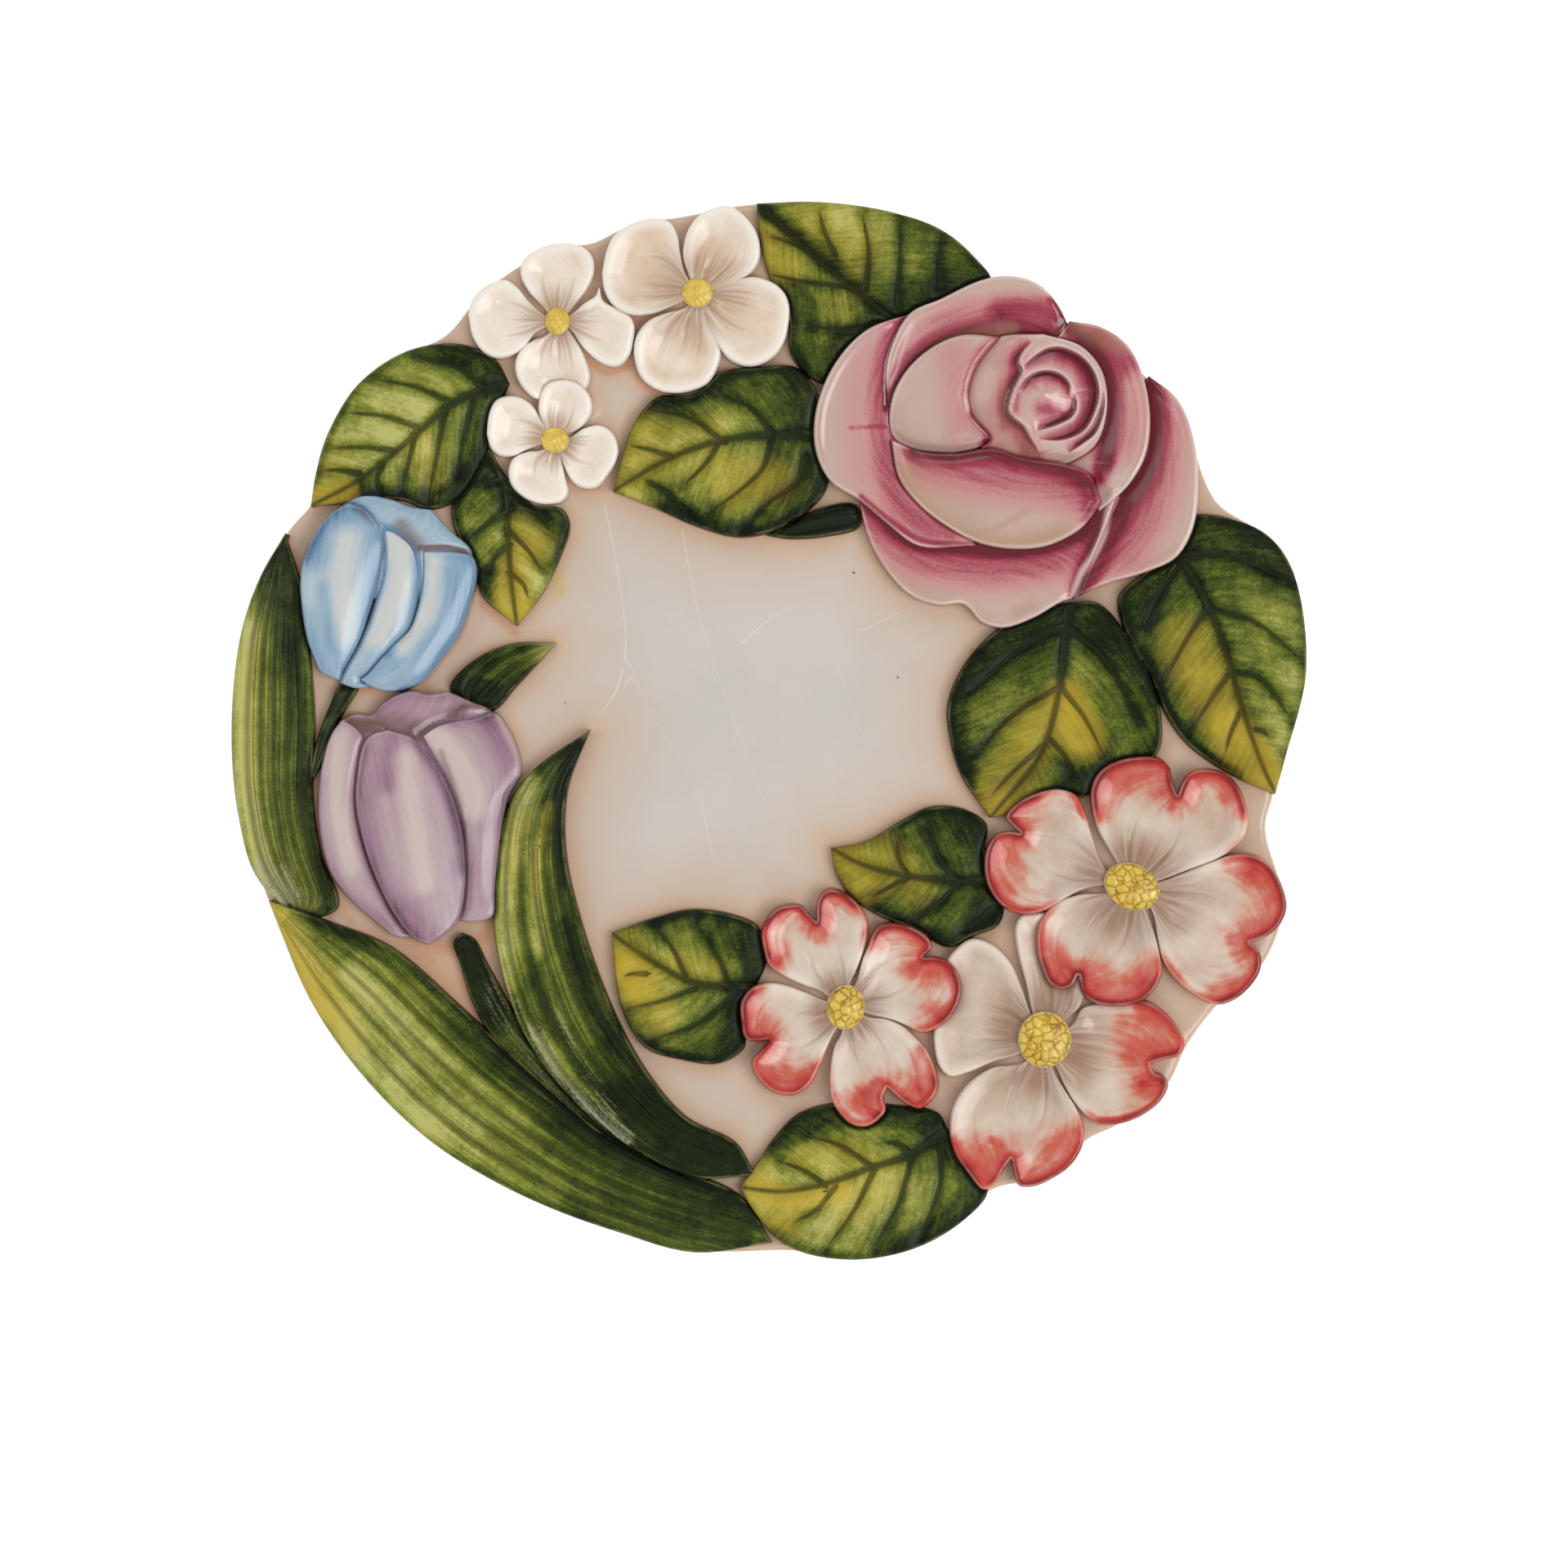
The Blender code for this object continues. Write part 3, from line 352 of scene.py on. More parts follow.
ROSE_PETALS = {
    "rose_bottom_petal": RosePetal(
        4.4, 4.2, 0.6, base="215,577", tip="743,325",
        left="239,479 285,395 345,333 415,309 475,311 519,267 571,253 645,277 715,317",
        right="335,589 555,549 865,570 840,440",
    ),
    "rose_outer_right_petal": RosePetal(
        5.0, 4.0, 0.5, base="925,867", tip="743,323",
        left="995,809 1035,709 1045,589 1031,489 991,423 915,387 815,357", right="885,749 855,609 805,469",
    ),
    "rose_outer_left_petal": RosePetal(
        5.6, 5.0, 0.7, base="341,1019", tip="505,453",
        left="235,979 159,899 113,789 111,689 147,613 219,565 285,509 365,453",
        right="355,929 355,809 365,699 405,609 465,520",
    ),
    "rose_top_petal": RosePetal(
        6.2, 5.2, 0.7, base="283,789", tip="741,949",
        left="287,909 339,1017 415,1053 515,1099 585,1109 655,1089 709,1029", right="355,829 435,909 555,929 675,929",
    ),
    "rose_inner_right_petal": RosePetal(
        6.6, 5.0, 0.5, base="731,999", tip="805,537", left="805,985 871,941 911,859 927,759 915,669 871,595",
        right="680,925 730,830 740,730 720,630",
    ),
    "rose_cup_petal": RosePetal(
        6.8, 8.4, 0.8, base="445,677", tip="559,961", left="345,691 299,723 295,799 325,869 385,929 465,965",
        right="515,693 539,713 495,769 483,819 503,889",
    ),
    "rose_bud": RosePetal(
        7.2, 7.0, 1.4, base="639,625", tip="665,967", left="535,670 485,749 465,829 485,909 555,960",
        right="735,657 795,699 821,779 811,873 759,937",
    ),
    "rose_front_petal": RosePetal(
        9.0, 6.8, 0.7, base="297,709", tip="807,557", left="365,683 455,677 539,689 625,665 715,651 779,625",
        right="315,619 365,553 435,499 515,459 605,445 685,455 765,499",
    ),
}

Bead = namedtuple("Bead", "long short turn top")

# The lips of the rose's bud, each a line with its high side on its left: the height of the lip, how far that swell
# and the hollow behind it reach, and the line
BUD_LIPS = [
    (
        1.1, 2.2, 1.9,
        "639,949 615,923 605,897 613,881 611,869 597,841 585,809 581,779 595,761 617,743 633,715 647,693 655,673",
    ),
    (
        1.1, 1.6, 2.6,
        "609,873 629,899 651,917 677,931 709,933 755,913 787,877 801,825 789,773 763,731 711,709 651,711",
    ),
    (0.9, 0.9, 1.6, "813,833 815,795 807,755 791,723 763,701 727,677"),
    (1.0, 1.3, 1.7, "607,825 617,849 637,867 673,877 709,867 731,841 729,809"),
    (1.0, 1.3, 1.8, "741,821 747,791 735,765 703,747 651,731"),
]
HEART = "663,819"

# A blossom: the heights of its petals' rims and throat, how far they are dished, its button, and each petal from the
# button to the notch in its end
Blossom = namedtuple("Blossom", "centre rim throat dish bead petals")

BLOSSOMS = {
    "large_blossom": Blossom(
        "-178,1070", rim=4.6, throat=3.2, dish=1.0, bead=Bead(3.9, 3.7, 0.0, 5.0),
        petals=[
            Shape(
                0, base="-169,1077", tip="-411,1117",
                left="-209,1051 -249,1033 -289,1019 -339,1017 -383,1039 -405,1075",
                right="-205,1113 -219,1165 -227,1213 -247,1243 -285,1251 -337,1239 -381,1209 -401,1167",
            ),
            Shape(
                0, base="-183,1061", tip="-73,1267",
                left="-201,1117 -213,1161 -205,1213 -175,1257 -135,1277 -99,1281",
                right="-125,1081 -85,1097 -49,1117 -27,1149 -25,1185 -33,1217 -49,1243",
            ),
            Shape(
                0, base="-189,1077", tip="47,1005", left="-125,1085 -81,1103 -35,1109 11,1093 37,1067 47,1037",
                right="-161,1021 -151,989 -125,939 -97,907 -61,893 -23,897 13,919 37,957",
            ),
            Shape(
                0, base="-173,1081", tip="-261,829",
                left="-153,1003 -135,965 -121,925 -129,889 -153,851 -193,833 -227,827",
                right="-205,1037 -255,1021 -299,1001 -327,965 -333,919 -317,867 -289,841",
            ),
        ],
    ),
    "middle_blossom": Blossom(
        "-520,1001", rim=4.0, throat=2.8, dish=0.9, bead=Bead(3.4, 3.1, 90.0, 4.5),
        petals=[
            Shape(
                0, base="-521,991", tip="-505,1191",
                left="-553,1033 -591,1075 -609,1113 -603,1149 -575,1173 -539,1187",
                right="-489,1027 -473,1047 -447,1081 -431,1117 -433,1155 -453,1179 -479,1189",
            ),
            Shape(
                0, base="-509,1003", tip="-737,1017",
                left="-549,985 -573,973 -601,937 -633,917 -669,911 -703,927 -727,963",
                right="-555,1019 -591,1051 -619,1085 -645,1101 -677,1095 -709,1075 -731,1045",
            ),
            Shape(
                0, base="-519,1011", tip="-519,807", left="-489,975 -475,955 -455,917 -441,875 -447,843 -479,817",
                right="-545,969 -577,955 -605,937 -623,903 -621,869 -605,839 -575,813",
            ),
            Shape(
                0, base="-531,1005", tip="-331,989",
                left="-485,1019 -457,1043 -427,1063 -417,1085 -409,1053 -369,1031 -341,1013",
                right="-487,979 -465,947 -437,917 -403,895 -369,893 -343,921 -333,959",
            ),
        ],
    ),
    "small_blossom": Blossom(
        "-527,712", rim=4.4, throat=3.2, dish=0.8, bead=Bead(3.6, 3.2, -10.0, 4.9),
        petals=[
            Shape(
                0, base="-517,715", tip="-693,725", left="-565,699 -597,687 -627,673 -661,673 -683,691",
                right="-557,757 -581,795 -609,815 -639,819 -669,809 -685,783 -691,753",
            ),
            Shape(
                0, base="-527,701", tip="-501,859", left="-557,753 -567,791 -559,829 -541,851",
                right="-499,727 -483,731 -457,749 -437,779 -437,809 -453,837 -477,853",
            ),
            Shape(
                0, base="-539,715", tip="-371,683", left="-491,719 -459,739 -423,749 -401,743 -383,727 -373,701",
                right="-515,673 -505,649 -483,609 -455,595 -423,599 -395,631 -379,657",
            ),
            Shape(
                0, base="-525,725", tip="-549,555", left="-511,663 -503,625 -495,583 -513,561",
                right="-557,689 -595,683 -629,667 -641,635 -633,601 -605,573 -575,559",
            ),
        ],
    ),
}

DOGWOODS = {
    "lower_dogwood": Blossom(
        "671,-755", rim=4.4, throat=3.4, dish=0.9, bead=Bead(7.0, 6.6, 90.0, 6.0),
        petals=[
            Shape(
                0, base="683,-751", tip="403,-695", left="609,-791 547,-809 485,-835 439,-845 413,-821 401,-761",
                right="641,-697 617,-631 589,-567 545,-523 497,-509 459,-531 429,-571 411,-631",
            ),
            Shape(
                0, base="673,-767", tip="641,-445", left="643,-697 627,-621 607,-541 601,-481 617,-451",
                right="719,-711 759,-671 775,-591 735,-501 685,-447",
            ),
            Shape(
                0, base="659,-755", tip="931,-813",
                left="739,-717 763,-679 809,-665 867,-659 917,-659 967,-691 997,-731 1013,-769 997,-795 963,-803",
                right=(
                    "703,-831 717,-863 747,-913 785,-951 819,-963 867,-957 917,-935 957,-901 973,-863 961,-841 "
                    "939,-835"
                ),
            ),
            Shape(
                0, base="671,-743", tip="589,-1047",
                left=(
                    "695,-831 719,-875 749,-923 767,-971 763,-1015 735,-1061 695,-1091 645,-1113 607,-1111 595,-1081"
                ),
                right=(
                    "617,-811 545,-823 487,-861 451,-911 439,-971 451,-1031 485,-1083 521,-1121 553,-1103 575,-1067"
                ),
            ),
        ],
    ),
    "large_dogwood": Blossom(
        "885,-381", rim=5.4, throat=3.8, dish=1.2, bead=Bead(7.2, 5.6, -27.0, 6.4),
        petals=[
            Shape(
                0, base="897,-385", tip="611,-249",
                left=(
                    "811,-379 759,-391 715,-415 675,-439 625,-449 575,-433 539,-391 525,-341 531,-287 555,-253 "
                    "587,-245"
                ),
                right="819,-335 787,-255 769,-191 749,-157 705,-143 655,-151 607,-175 577,-211 591,-231",
            ),
            Shape(
                0, base="879,-393", tip="995,-155",
                left="843,-315 807,-251 789,-201 785,-143 805,-101 845,-75 903,-63 953,-67 977,-91 983,-125",
                right=(
                    "957,-365 1019,-341 1095,-311 1137,-283 1161,-249 1165,-201 1147,-143 1115,-107 1067,-93 "
                    "1025,-101 1007,-125"
                ),
            ),
            Shape(
                0, base="873,-377", tip="1173,-517",
                left=(
                    "955,-367 999,-351 1075,-321 1135,-301 1185,-305 1225,-333 1251,-381 1261,-431 1245,-473 "
                    "1215,-501"
                ),
                right=(
                    "923,-423 937,-455 947,-511 963,-571 1003,-621 1053,-655 1097,-669 1137,-655 1175,-621 1197,-583 "
                    "1197,-543"
                ),
            ),
            Shape(
                0, base="891,-369", tip="753,-599",
                left="919,-437 935,-481 951,-541 957,-591 939,-633 905,-661 847,-673 787,-663 761,-637",
                right="827,-395 755,-401 695,-425 659,-471 653,-531 665,-583 685,-621 715,-633 741,-621",
            ),
        ],
    ),
    "small_dogwood": Blossom(
        "185,-677", rim=5.0, throat=3.6, dish=1.0, bead=Bead(5.6, 4.8, 80.0, 6.0),
        petals=[
            Shape(
                0, base="189,-689", tip="113,-465",
                left="121,-637 83,-623 35,-601 -1,-577 -17,-531 -21,-491 -9,-461 15,-435 49,-425 77,-427 95,-447",
                right=(
                    "197,-617 209,-591 225,-551 237,-511 239,-471 225,-437 203,-411 175,-393 145,-387 121,-405 "
                    "113,-431"
                ),
            ),
            Shape(
                0, base="173,-671", tip="377,-553",
                left="211,-615 225,-565 241,-523 253,-493 275,-473 315,-471 357,-485 389,-509 397,-531",
                right=(
                    "251,-697 297,-707 337,-723 373,-739 409,-727 439,-705 461,-669 469,-629 459,-591 435,-563 "
                    "407,-553"
                ),
            ),
            Shape(
                0, base="179,-667", tip="287,-873",
                left=(
                    "239,-699 283,-705 325,-723 363,-757 389,-791 407,-837 411,-873 397,-901 367,-923 335,-913 "
                    "309,-893"
                ),
                right="175,-737 159,-769 147,-831 149,-895 169,-935 201,-963 235,-967 265,-951 283,-927 277,-899",
            ),
            Shape(
                0, base="197,-681", tip="-3,-757",
                left="159,-737 137,-781 117,-833 95,-869 57,-891 7,-883 -33,-845 -45,-809 -27,-785",
                right="121,-655 83,-639 39,-623 -3,-617 -45,-629 -71,-663 -71,-711 -61,-753 -35,-761",
            ),
        ],
    ),
}

# ---- Brush strokes: how far each reaches from its line, how strongly it covers, and its line -----------------------

def strokes(text):
    """The strokes that a text parts with semicolons: each one's reach, its strength and its line's places."""
    parts = (stroke.split(maxsplit=2) for stroke in text.split(";"))
    return [(float(reach), float(strength), line) for reach, strength, line in parts]


# A leaf's side veins, from its rib outwards
LEAF_VEINS = {
    "top_leaf": [
        "159,1165 135,1213 119,1273", "235,1085 241,1169 225,1265", "311,1029 317,1129 321,1259",
        "415,1085 415,1149 419,1209", "85,1183 -5,1209", "215,1085 95,1095 -15,1119", "265,995 195,981 95,989",
    ],
    "left_top_leaf": [
        "-705,843 -765,889 -865,913", "-785,805 -865,839 -965,859", "-861,741 -945,769 -1035,777",
        "-925,685 -1005,693 -1081,689", "-1005,629 -1055,637 -1095,635", "-725,809 -749,709 -765,629",
        "-795,779 -815,669 -835,569", "-869,719 -885,649 -901,589", "-949,649 -959,619 -955,585",
    ],
    "small_leaf": [
        "-649,619 -685,609 -715,599", "-635,545 -689,509 -745,465", "-641,453 -669,429 -689,395",
        "-635,589 -575,549 -541,489", "-641,489 -595,445 -561,395", "-637,385 -605,359 -593,325",
    ],
    "centre_top_leaf": [
        "5,729 -45,789 -125,825", "-115,709 -195,765 -305,789", "-245,673 -295,689 -345,699",
        "5,719 -15,649 -75,589 -145,539", "-125,709 -155,659 -215,599", "-295,609 -245,579 -185,509",
        "85,669 65,609 -5,559 -75,489",
    ],
    "inner_right_leaf": [
        "721,259 615,199 495,99", "711,109 595,39 505,-55", "671,-35 595,-101 539,-161", "725,259 815,179 905,19",
        "713,105 765,39 815,-55", "685,-21 721,-61 739,-107",
    ],
    "outer_right_leaf": [
        "995,399 955,339 915,259", "1071,305 1015,219 965,125", "1121,139 1085,89 1035,13",
        "1149,45 1127,-1 1111,-55", "999,429 1135,423 1275,361", "1071,299 1185,265 1299,173",
        "1125,143 1195,129 1275,25", "1185,3 1205,-3 1219,-15",
    ],
    "centre_right_leaf": [
        "455,-363 415,-311 385,-231", "335,-351 315,-311 311,-267", "465,-371 415,-421 345,-461",
        "335,-359 295,-381 245,-407", "547,-435 515,-461 475,-487",
    ],
    "inner_bottom_leaf": [
        "-99,-631 -125,-561 -181,-471", "-209,-601 -235,-541 -285,-475", "-85,-643 -165,-711 -285,-755",
        "-185,-631 -265,-661 -345,-679", "-305,-595 -335,-595 -361,-601",
    ],
    "bottom_leaf": [
        "343,-1035 315,-1011 275,-1003", "251,-1067 175,-1015 95,-991", "135,-1111 85,-1075 25,-1053",
        "415,-1001 415,-1111 365,-1243", "347,-1041 311,-1161 255,-1261", "251,-1079 205,-1171 135,-1267",
        "159,-1113 115,-1167 55,-1203",
    ],
}

LEAF_DARK = {
    "top_leaf": strokes(
        "4 0.9 -25,1285 75,1205 195,1105 285,1009; 7.5 1.2 115,857 215,959 335,1039 475,1099 547,1099; 9 0.8 "
        "375,1189 455,1149 495,1109; 5.5 1.2 45,1069 85,1033 85,949 115,879"
    ),
    "left_top_leaf": strokes(
        "7.5 1.2 -661,809 -675,899 -765,939; 5.5 1.2 -685,749 -715,649 -785,565 -885,555 -985,569; 3 0.5 -1025,829 "
        "-1095,689 -1109,609; 4 0.5 -765,939 -885,929 -985,865"
    ),
    "small_leaf": strokes(
        "6.5 1.2 -689,679 -649,589 -565,545 -505,539; 3.5 0.9 -735,619 -773,539 -755,469; 4 1 -685,389 -701,349; "
        "3 0.8 -497,509 -521,419"
    ),
    "centre_top_leaf": strokes(
        "7.5 1.2 65,869 125,749 131,609; 3.5 1 -305,809 -185,821 -75,873 35,889; 4.5 1.1 -245,539 -165,505 -5,485 "
        "115,559; 4 0.5 35,589 85,669; 3.5 0.6 -35,829 15,789 65,729"
    ),
    "stem_leaf": strokes("12 1.2 5,479 225,529"),
    "inner_right_leaf": strokes(
        "6 1.3 585,253 475,139 441,29 465,-111; 8.5 1 585,239 735,299 875,209 939,149; 5.5 1.1 945,-41 855,-101 "
        "735,-141 695,-171; 3.5 0.6 939,109 947,-31; 5 0.5 655,279 715,299 805,269; 4 0.4 475,149 545,229"
    ),
    "outer_right_leaf": strokes(
        "7 0.8 1015,489 1155,479 1235,409; 6 1.3 875,319 895,259 945,379; 3.5 1.2 915,189 971,39 1055,-61 1135,-111; "
        "16 0.28 1175,349 1215,129; 6 0.5 995,449 1075,489 1175,449"
    ),
    "centre_right_leaf": strokes(
        "6.5 1.2 465,-211 531,-271 539,-411 505,-491; 4 1.1 265,-451 355,-491 455,-519; 3.5 0.9 315,-219 415,-191"
    ),
    "inner_bottom_leaf": strokes(
        "6.5 1.3 -95,-461 -25,-571 -69,-711 -85,-791; 3.2 1 -335,-755 -225,-801 -125,-809; 3.2 0.9 -285,-461 "
        "-165,-443"
    ),
    "bottom_leaf": strokes(
        "6.5 1.3 25,-987 115,-931 315,-931 435,-975; 7 1.2 445,-991 509,-1111 445,-1211 335,-1271; 3.5 0.6 315,-1275 "
        "135,-1287 15,-1227"
    ),
}

# Lighter strokes on the leaves; those along the edges of the centre top leaf and the outer right leaf are painted
# highlights
LEAF_LIGHT_AND_HIGHLIGHT = {
    "centre_top_leaf": strokes("1.6 0.9 -357,589 -285,547 -185,503 -95,477"),
    "top_leaf": strokes("5 0.5 135,1089 235,989"),
    "outer_right_leaf": strokes("6 0.6 1225,269 1265,129 1245,-11"),
}

LEAF_YELLOW = {
    "top_leaf": strokes("6 0.7 -15,1189 35,1129; 9 0.45 115,1239 205,1169; 6 0.3 155,1029 215,1049"),
    "left_top_leaf": strokes("3.6 1.6 -1117,557 -1035,581; 7 0.3 -845,699 -815,609; 6 0.3 -1065,669 -1085,589"),
    "small_leaf": strokes("4.6 1.6 -621,259 -633,349; 5 0.8 -635,389 -605,449; 5 0.6 -605,509 -565,459"),
    "centre_top_leaf": strokes(
        "8 0.45 -355,609 -305,729; 7.5 0.59 -85,609 15,609; 6 0.33 -225,649 -145,669; 5 0.26 -205,749 -125,749"
    ),
    "inner_right_leaf": strokes("6 1.2 725,69 765,-21; 8 0.6 655,9 565,-161; 4.5 0.8 539,-207 565,-171"),
    "outer_right_leaf": strokes("8 0.7 1015,209 1075,89; 6 1.3 1115,9 1205,-121; 4 1.2 1235,-151 1195,-71"),
    "centre_right_leaf": strokes("6 0.6 165,-301 235,-381; 7 0.35 275,-291 355,-391"),
    "inner_bottom_leaf": strokes("4.5 1.3 -355,-581 -325,-621; 7 0.5 -365,-531 -285,-691; 5 0.4 -225,-571 -145,-591"),
    "bottom_leaf": strokes(
        "2.6 1.8 -35,-1121 75,-1143 175,-1121; 6 0.7 -35,-1091 35,-1191; 7 0.5 195,-1151 275,-1091; 5 0.5 85,-1041 "
        "195,-1031"
    ),
}

# The furrows of each blade by their places across it, and its dark, light and yellow strokes
BLADE_FURROWS = {
    "left_blade": (-0.62, -0.3, 0.02, 0.36, 0.7),
    "bottom_blade": (-0.7, -0.42, -0.1, 0.24, 0.58),
    "stem_blade": (-0.2, 0.4),
    "middle_blade": (-0.72, -0.32, 0.05, 0.36, 0.7),
    "short_blade": (-0.35, 0.25),
    "blue_stem": (0.1,),
}

BLADE_DARK = {
    "left_blade": strokes(
        "4.4 0.88 -1181,459 -1165,189 -1145,-111 -1105,-291 -1069,-441; 1.8 0.6 -1209,429 -1211,-11 -1189,-291; "
        "1 0.4 -1241,349 -1249,-11 -1229,-251 -1195,-331; 3 0.6 -1185,479 -1213,409 -1241,339"
    ),
    "bottom_blade": strokes(
        "14 0.66 -365,-1211 -185,-1191 -25,-1211; 5 0.9 -685,-761 -485,-955 -185,-1101 -25,-1151; 3.5 0.8 -1105,-461 "
        "-965,-531 -805,-641 -645,-791; 9 0.45 -765,-791 -485,-1011 -165,-1151; 4 0.5 -765,-1051 -525,-1171"
    ),
    "stem_blade": strokes("5 1.2 -745,-501 -705,-611 -675,-691; 4 0.7 -685,-711 -485,-931 -165,-1111"),
    "middle_blade": strokes(
        "3 1 -505,-471 -425,-691 -285,-911 -85,-1031; 7 0.9 -365,-891 -225,-1011 -65,-1071; 2.6 0.9 -445,-11 "
        "-505,-91 -515,-211 -505,-371; 3 0.5 -585,-611 -485,-791 -325,-991"
    ),
    "short_blade": strokes("6.5 1.3 -755,89 -705,89; 2.4 0.9 -605,139 -685,65; 1.6 0.8 -705,159 -605,199"),
    "blue_stem": strokes("3 0.9 -1029,113 -1075,49; 3 0.7 -1095,-11 -1115,-111"),
}

# Lighter strokes on the blades; the middle blade's last one is a painted highlight streak on its glaze
BLADE_LIGHT_AND_HIGHLIGHT = {
    "left_blade": strokes("4 0.45 -1261,309 -1281,89 -1275,-131 -1235,-291; 2 0.4 -1225,309 -1229,-131"),
    "bottom_blade": strokes(
        "6 0.35 -1195,-471 -1125,-631 -985,-831 -845,-951; 4 0.4 -845,-951 -685,-1071 -525,-1151; 3 0.5 -1025,-591 "
        "-805,-791 -605,-951; 3 0.4 -945,-551 -805,-651"
    ),
    "stem_blade": strokes("3 0.5 -655,-751 -565,-851 -445,-951"),
    "middle_blade": strokes(
        "3.2 1.2 -585,-131 -635,-291 -657,-451 -641,-611; 2.4 0.7 -565,-211 -575,-371 -565,-531; 3 0.6 -525,-571 "
        "-465,-711 -395,-831; 2 1 -561,-755 -485,-855 -375,-941"
    ),
    "short_blade": strokes("2.6 1 -549,205 -605,173; 1.6 0.8 -635,189 -705,119"),
    "blue_stem": strokes("1.6 0.7 -1045,89 -1085,9"),
}

BLADE_YELLOW = {
    "left_blade": strokes("2.6 0.2 -1275,189 -1273,-131; 1.4 0.2 -1259,269 -1263,-131"),
    "bottom_blade": strokes("5 0.85 -1201,-461 -1149,-571 -1095,-681; 5 0.5 -1095,-591 -1025,-751"),
    "middle_blade": strokes("1.4 0.6 -541,-181 -575,-331 -575,-391; 2.6 0.35 -615,-211 -641,-371"),
}

# Where the clay shows pale through the green
BLADE_BARE = {
    "left_blade": strokes("4.5 1 -1241,-341 -1195,-401; 2 0.6 -1185,-331 -1141,-421"),
    "middle_blade": strokes(
        "3 0.8 -575,-735 -523,-827 -463,-899 -401,-955 -349,-995; 2.2 0.6 -457,-11 -441,3; 2.4 0.55 -517,-691 "
        "-483,-773 -441,-853 -385,-927; 1.6 0.6 -657,-531 -645,-611 -613,-697"
    ),
    "short_blade": strokes("1.4 0.8 -525,217 -549,209"),
    "stem_blade": strokes("3.2 0.55 -689,-631 -643,-717 -599,-787 -537,-863 -461,-927"),
}

TULIP_TINT = {
    "blue_back_petal": strokes("12 0.24 -985,549 -765,489"),
    "blue_left_petal": strokes(
        "3 0.9 -1005,539 -1085,509 -1125,429; 2.6 0.8 -953,469 -961,349 -995,229 -1021,149; 1.2 0.6 -1089,349 "
        "-1065,209 -1041,149; 3 0.5 -1133,269 -1095,159"
    ),
    "blue_middle_petal": strokes(
        "1.6 0.42 -863,409 -869,329 -917,229 -985,133; 1 0.42 -945,389 -981,249; 2 0.28 -1005,119 -965,159"
    ),
    "blue_right_petal": strokes(
        "3.5 0.7 -729,409 -741,289 -795,179 -885,113; 1 0.6 -849,409 -861,309 -937,189; 3 0.6 -775,389 -781,269 "
        "-845,189; 2 0.4 -985,113 -925,169"
    ),
    "lilac_back_petal": strokes("12 0.5 -945,49 -685,29"),
    "lilac_left_petal": strokes(
        "1.2 0.3 -1005,-11 -1013,-211 -975,-371 -925,-471; 1.8 0.36 -1097,-131 -1099,-271 -1045,-391 -945,-471"
    ),
    "lilac_right_petal": strokes(
        "3 0.8 -685,29 -641,-51 -629,-131 -661,-211; 1.4 0.7 -753,-231 -741,-331 -745,-431; 2.5 0.5 -685,-211 "
        "-689,-411; 2.5 0.5 -765,29 -685,29"
    ),
    "lilac_middle_petal": strokes(
        "1.8 0.9 -861,-21 -805,-111 -765,-231 -755,-331; 3 0.7 -985,-51 -999,-191 -965,-351 -885,-491; 2 0.8 "
        "-925,-31 -933,-131; 3 0.6 -825,-511 -885,-451; 1.6 0.5 -765,-331 -773,-451"
    ),
}

TULIP_PALE = {
    "blue_left_petal": strokes("3.5 0.7 -1035,469 -1045,349 -1029,229"),
    "blue_middle_petal": strokes("3.2 1.1 -929,489 -901,409 -925,309 -961,229; 2.5 0.8 -945,489 -885,453"),
    "blue_right_petal": strokes("3 0.9 -825,409 -835,309 -895,209"),
    "lilac_left_petal": strokes("2.6 0.7 -1055,-11 -1061,-171 -1025,-331"),
    "lilac_right_petal": strokes("3.5 0.9 -825,-1 -765,-71 -715,-191; 1.4 1.2 -661,33 -617,-61 -613,-101"),
    "lilac_middle_petal": strokes("3.2 0.8 -895,-71 -869,-211 -845,-371"),
}

# Brown in the tulips' folds and slits and along the foot of the back petals: partly brown paint, partly painted
# shadow
TULIP_BROWN_AND_SHADOW = {
    "blue_back_petal": strokes("0.9 0.9 -853,445 -789,449 -741,437; 2.4 0.5 -901,499 -861,453"),
    "blue_left_petal": strokes("1.4 0.35 -1005,543 -973,513"),
    "lilac_back_petal": strokes(
        "1.6 0.9 -1045,29 -1001,13 -949,7; 3.4 0.5 -975,21 -915,13 -871,1; 2.2 0.6 -871,-3 -815,19 -759,49; 0.8 0.6 "
        "-795,29 -735,63 -689,53"
    ),
    "lilac_left_petal": strokes("0.8 0.35 -981,-21 -1011,-191 -967,-361 -885,-507"),
    "lilac_middle_petal": strokes("0.7 0.35 -987,-41 -1007,-191 -965,-351 -875,-503"),
    "lilac_right_petal": strokes("0.9 0.35 -805,-51 -753,-211 -737,-351 -753,-461"),
}

